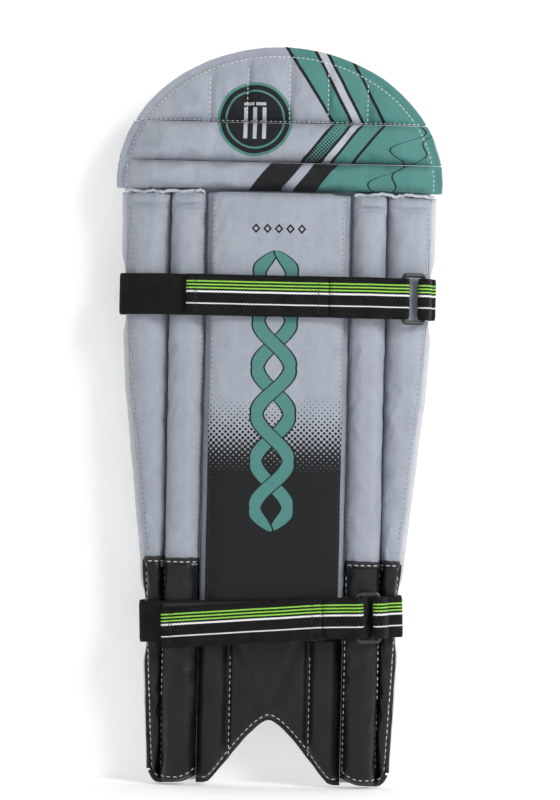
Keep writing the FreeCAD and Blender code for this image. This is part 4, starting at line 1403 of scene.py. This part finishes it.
def webbing(name, which, plan, faces, mirrored=False):
    """A strap along a plan path. The first finish is on the side to the left of the way it runs."""
    slant = STRAP[which]["slant"]
    step = unit(np.gradient(plan, axis=0))
    left = np.stack([-step[:, 1], step[:, 0]], 1)
    run = run_along(plan)
    count = 13
    v = np.linspace(-STRAP_HALF, STRAP_HALF, count)
    swell = WEB_THICK / 2 * np.clip((STRAP_HALF - np.abs(v)) / 0.7, 0.35, 1)
    rings, uv = [], []
    for i in range(len(plan)):
        wander = 0.25 * wave(run[i] / 22.0, hash_of(name))
        rows = []
        for sign, order in ((1, range(count)), (-1, range(count - 1, -1, -1))):
            for k in order:
                p = plan[i] + left[i] * sign * swell[k]
                h = v[k] + wander * (1 if abs(v[k]) > STRAP_HALF - 4 else 0.5)
                rows.append((p[0], p[1], h))
                uv.append((run[i], v[k]))
        rings.append(rows)
    points = np.array(rings)
    if mirrored:
        points[..., 0] *= -1
    x, z = points[..., 0].copy(), points[..., 2].copy()
    points[..., 0] = x * math.cos(slant) - z * math.sin(slant)
    points[..., 2] = STRAP[which]["at"] + x * math.sin(slant) + z * math.cos(slant)
    uv = np.array(uv).reshape(points.shape[0], points.shape[1], 2)
    kinds = [0 if c < count - 1 or c == 2 * count - 1 else 1 for c in range(2 * count)]
    thing = grid(name, points, uv=uv, kinds=kinds, flip=not mirrored)
    dress(thing, *faces)
    return thing


def tail_drop(which, x):
    """How far a tail hangs below its strap's line at x: the lower one is done up at a slant of its own."""
    return max(0.0, 42.0 - x) * (0.042 if which == "lower" else 0.0)


def build_straps():
    rise = 4.3
    for which in STRAP:
        points, ring, ahead, out, beyond = route(which)
        radii = [0, 4, 5, 4, 2.5, 0]
        centre = np.array([0.0, -LIFT])
        plan = bend_path([centre] + points, [0] + radii)
        left = webbing(f"{which}_strap_left_run", which, plan, ("webbing", "webbing"), mirrored=True)
        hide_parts(f"{which}_strap_left")
        moved(left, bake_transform, "shin_centre", "left_wing", start=(-0.050, 0, 0), end=(-0.082, 0, 0))
        near = ring - ahead * RING_REACH
        turn = near + ahead * rise
        passed = 2 if beyond else 1
        over = [np.array([x, -LIFT - LAYER]) for x in (HINGE + 1, PEEL + 0.3)]
        round_ring = [turn, turn + out * 2 * rise, near + out * 2 * rise - ahead]
        fold = [centre] + points[:passed] + round_ring + over
        fold_radii = [0] + radii[:passed] + [rise - 1e-3, rise - 1e-3, 3.4, 0, 0]
        plan = bend_path(fold, fold_radii)
        right = webbing(f"{which}_strap_right_run", which, plan, ("striped", "webbing"))
        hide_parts(f"{which}_strap_right", f"{which}_strap_middle", f"{which}_strap_fold_run")
        moved(right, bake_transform, "shin_centre", "right_wing", start=(0.050, 0, 0), end=(0.082, 0, 0))
        far = ring + ahead * RING_REACH
        back = far - ahead * rise
        tip = far + ahead * 8 + out * 2.1
        loop = [tip, far + out * 2 * rise + ahead * 2.5, back + out * 2 * rise, back] + points[passed:]
        loop_radii = [0, 3.4, rise - 1e-3, rise - 1e-3] + radii[passed:]
        tab = webbing(f"{which}_ring_tab", which, bend_path(loop, loop_radii), ("striped", "striped"))
        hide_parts(f"{which}_tab")
        moved(tab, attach, "right_wing")
        plan = bend_path([np.array([x, -LIFT - LAYER]) for x in (PEEL - 0.3, -STRAP[which]["tail"])], [0, 0])
        tail = webbing(f"{which}_tail_run", which, plan, ("striped", "webbing"))
        points = coords(tail)
        points[:, 2] -= [tail_drop(which, x) for x in points[:, 0]]
        set_coords(tail, points)
        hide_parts(f"{which}_tail")
        moved(tail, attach, f"{which}_tail")
        dress(frame["nodes"][f"{which}_hook_patch"], "hook")
        dress(frame["nodes"][f"{which}_ring"], "plastic")
    for word in SIDES:
        dress(frame["nodes"][f"{word}_anchor_patches"], "webbing")


# ------------------------------------------------------------------ run
build_rolls()
build_knee()
build_bolsters()
middle = build_middle()
run_cloth()
finish_rolls()
finish_knee()
finish_bolsters()
finish_middle(*middle)
build_edges()
build_frills()
build_back()
build_straps()
everything = {thing.name: thing for thing in bpy.context.scene.objects}
sew_front(everything)
sew_back(everything)

# ------------------------------------------------------------------ stage, light and camera
PX = 0.8754 / 1000
ROLL = math.radians(1.2)
DISTANCE = 3.4
AIM = (0, 0, 0.33)
PICTURE_HIGH = 800


def stage():
    """A wall seen only from its front, and a floor, matt white with a little light of their own."""
    wall, tree, shader = new_material("BackdropOneSided")
    floor, _, floor_shader = new_material("PaleFloor")
    for each in (shader, floor_shader):
        set_inputs(each, {
            "Base Color": (0.80, 0.80, 0.80, 1), "Roughness": 0.95, "Specular IOR Level": 0.0,
            "Emission Color": (1, 1, 1, 1), "Emission Strength": 0.27,
        })
    clear = tree.nodes.new("ShaderNodeBsdfTransparent")
    mixed = tree.nodes.new("ShaderNodeMixShader")
    facing = tree.nodes.new("ShaderNodeNewGeometry")
    tree.links.new(facing.outputs["Backfacing"], mixed.inputs[0])
    tree.links.new(shader.outputs[0], mixed.inputs[1])
    tree.links.new(clear.outputs[0], mixed.inputs[2])
    tree.links.new(mixed.outputs[0], tree.nodes["Material Output"].inputs[0])
    for name, material, corners in (
        ("backdrop", wall, [(-3, 0.05, -0.001), (3, 0.05, -0.001), (3, 0.05, 4), (-3, 0.05, 4)]),
        ("floor", floor, [(-20, -20, -0.001), (20, -20, -0.001), (20, 20, -0.001), (-20, 20, -0.001)]),
    ):
        mesh = bpy.data.meshes.new(name)
        mesh.from_pydata(corners, [], [(0, 1, 2, 3)])
        mesh.materials.append(material)
        linked(name, mesh)


def lamp(name, place, width, power):
    data = bpy.data.lights.new(name, "AREA")
    data.size = width
    data.energy = power
    made = linked(name, data)
    made.location = place
    made.rotation_euler = (Vector(AIM) - Vector(place)).to_track_quat("-Z", "Y").to_euler()


def lights():
    lamp("key", (1.5, -1.7, 1.7), 0.9, 42)
    lamp("fill", (-1.8, -2.0, 0.9), 2.0, 8)
    lamp("back", (-0.6, 2.2, 1.6), 1.6, 30)
    world = bpy.data.worlds.new("Studio")
    world.use_nodes = True
    world.node_tree.nodes["Background"].inputs[0].default_value = (1, 1, 1, 1)
    world.node_tree.nodes["Background"].inputs[1].default_value = 0.42
    bpy.context.scene.world = world
    bpy.context.scene.view_settings.view_transform = "Standard"


def camera():
    data = bpy.data.cameras.new("camera")
    data.sensor_fit = "VERTICAL"
    data.sensor_height = 24
    data.lens = 24 * DISTANCE / (PICTURE_HIGH * PX)
    made = linked("camera", data)
    up = Vector((-math.sin(ROLL), 0, math.cos(ROLL)))
    back = Vector((0, -1, 0))
    right = up.cross(back)
    turned = Matrix((right, up, back)).transposed()
    made.matrix_world = Matrix.Translation((0.004, -0.02 - DISTANCE, 0.3392)) @ turned.to_4x4()
    bpy.context.scene.camera = made


stage()
lights()
camera()
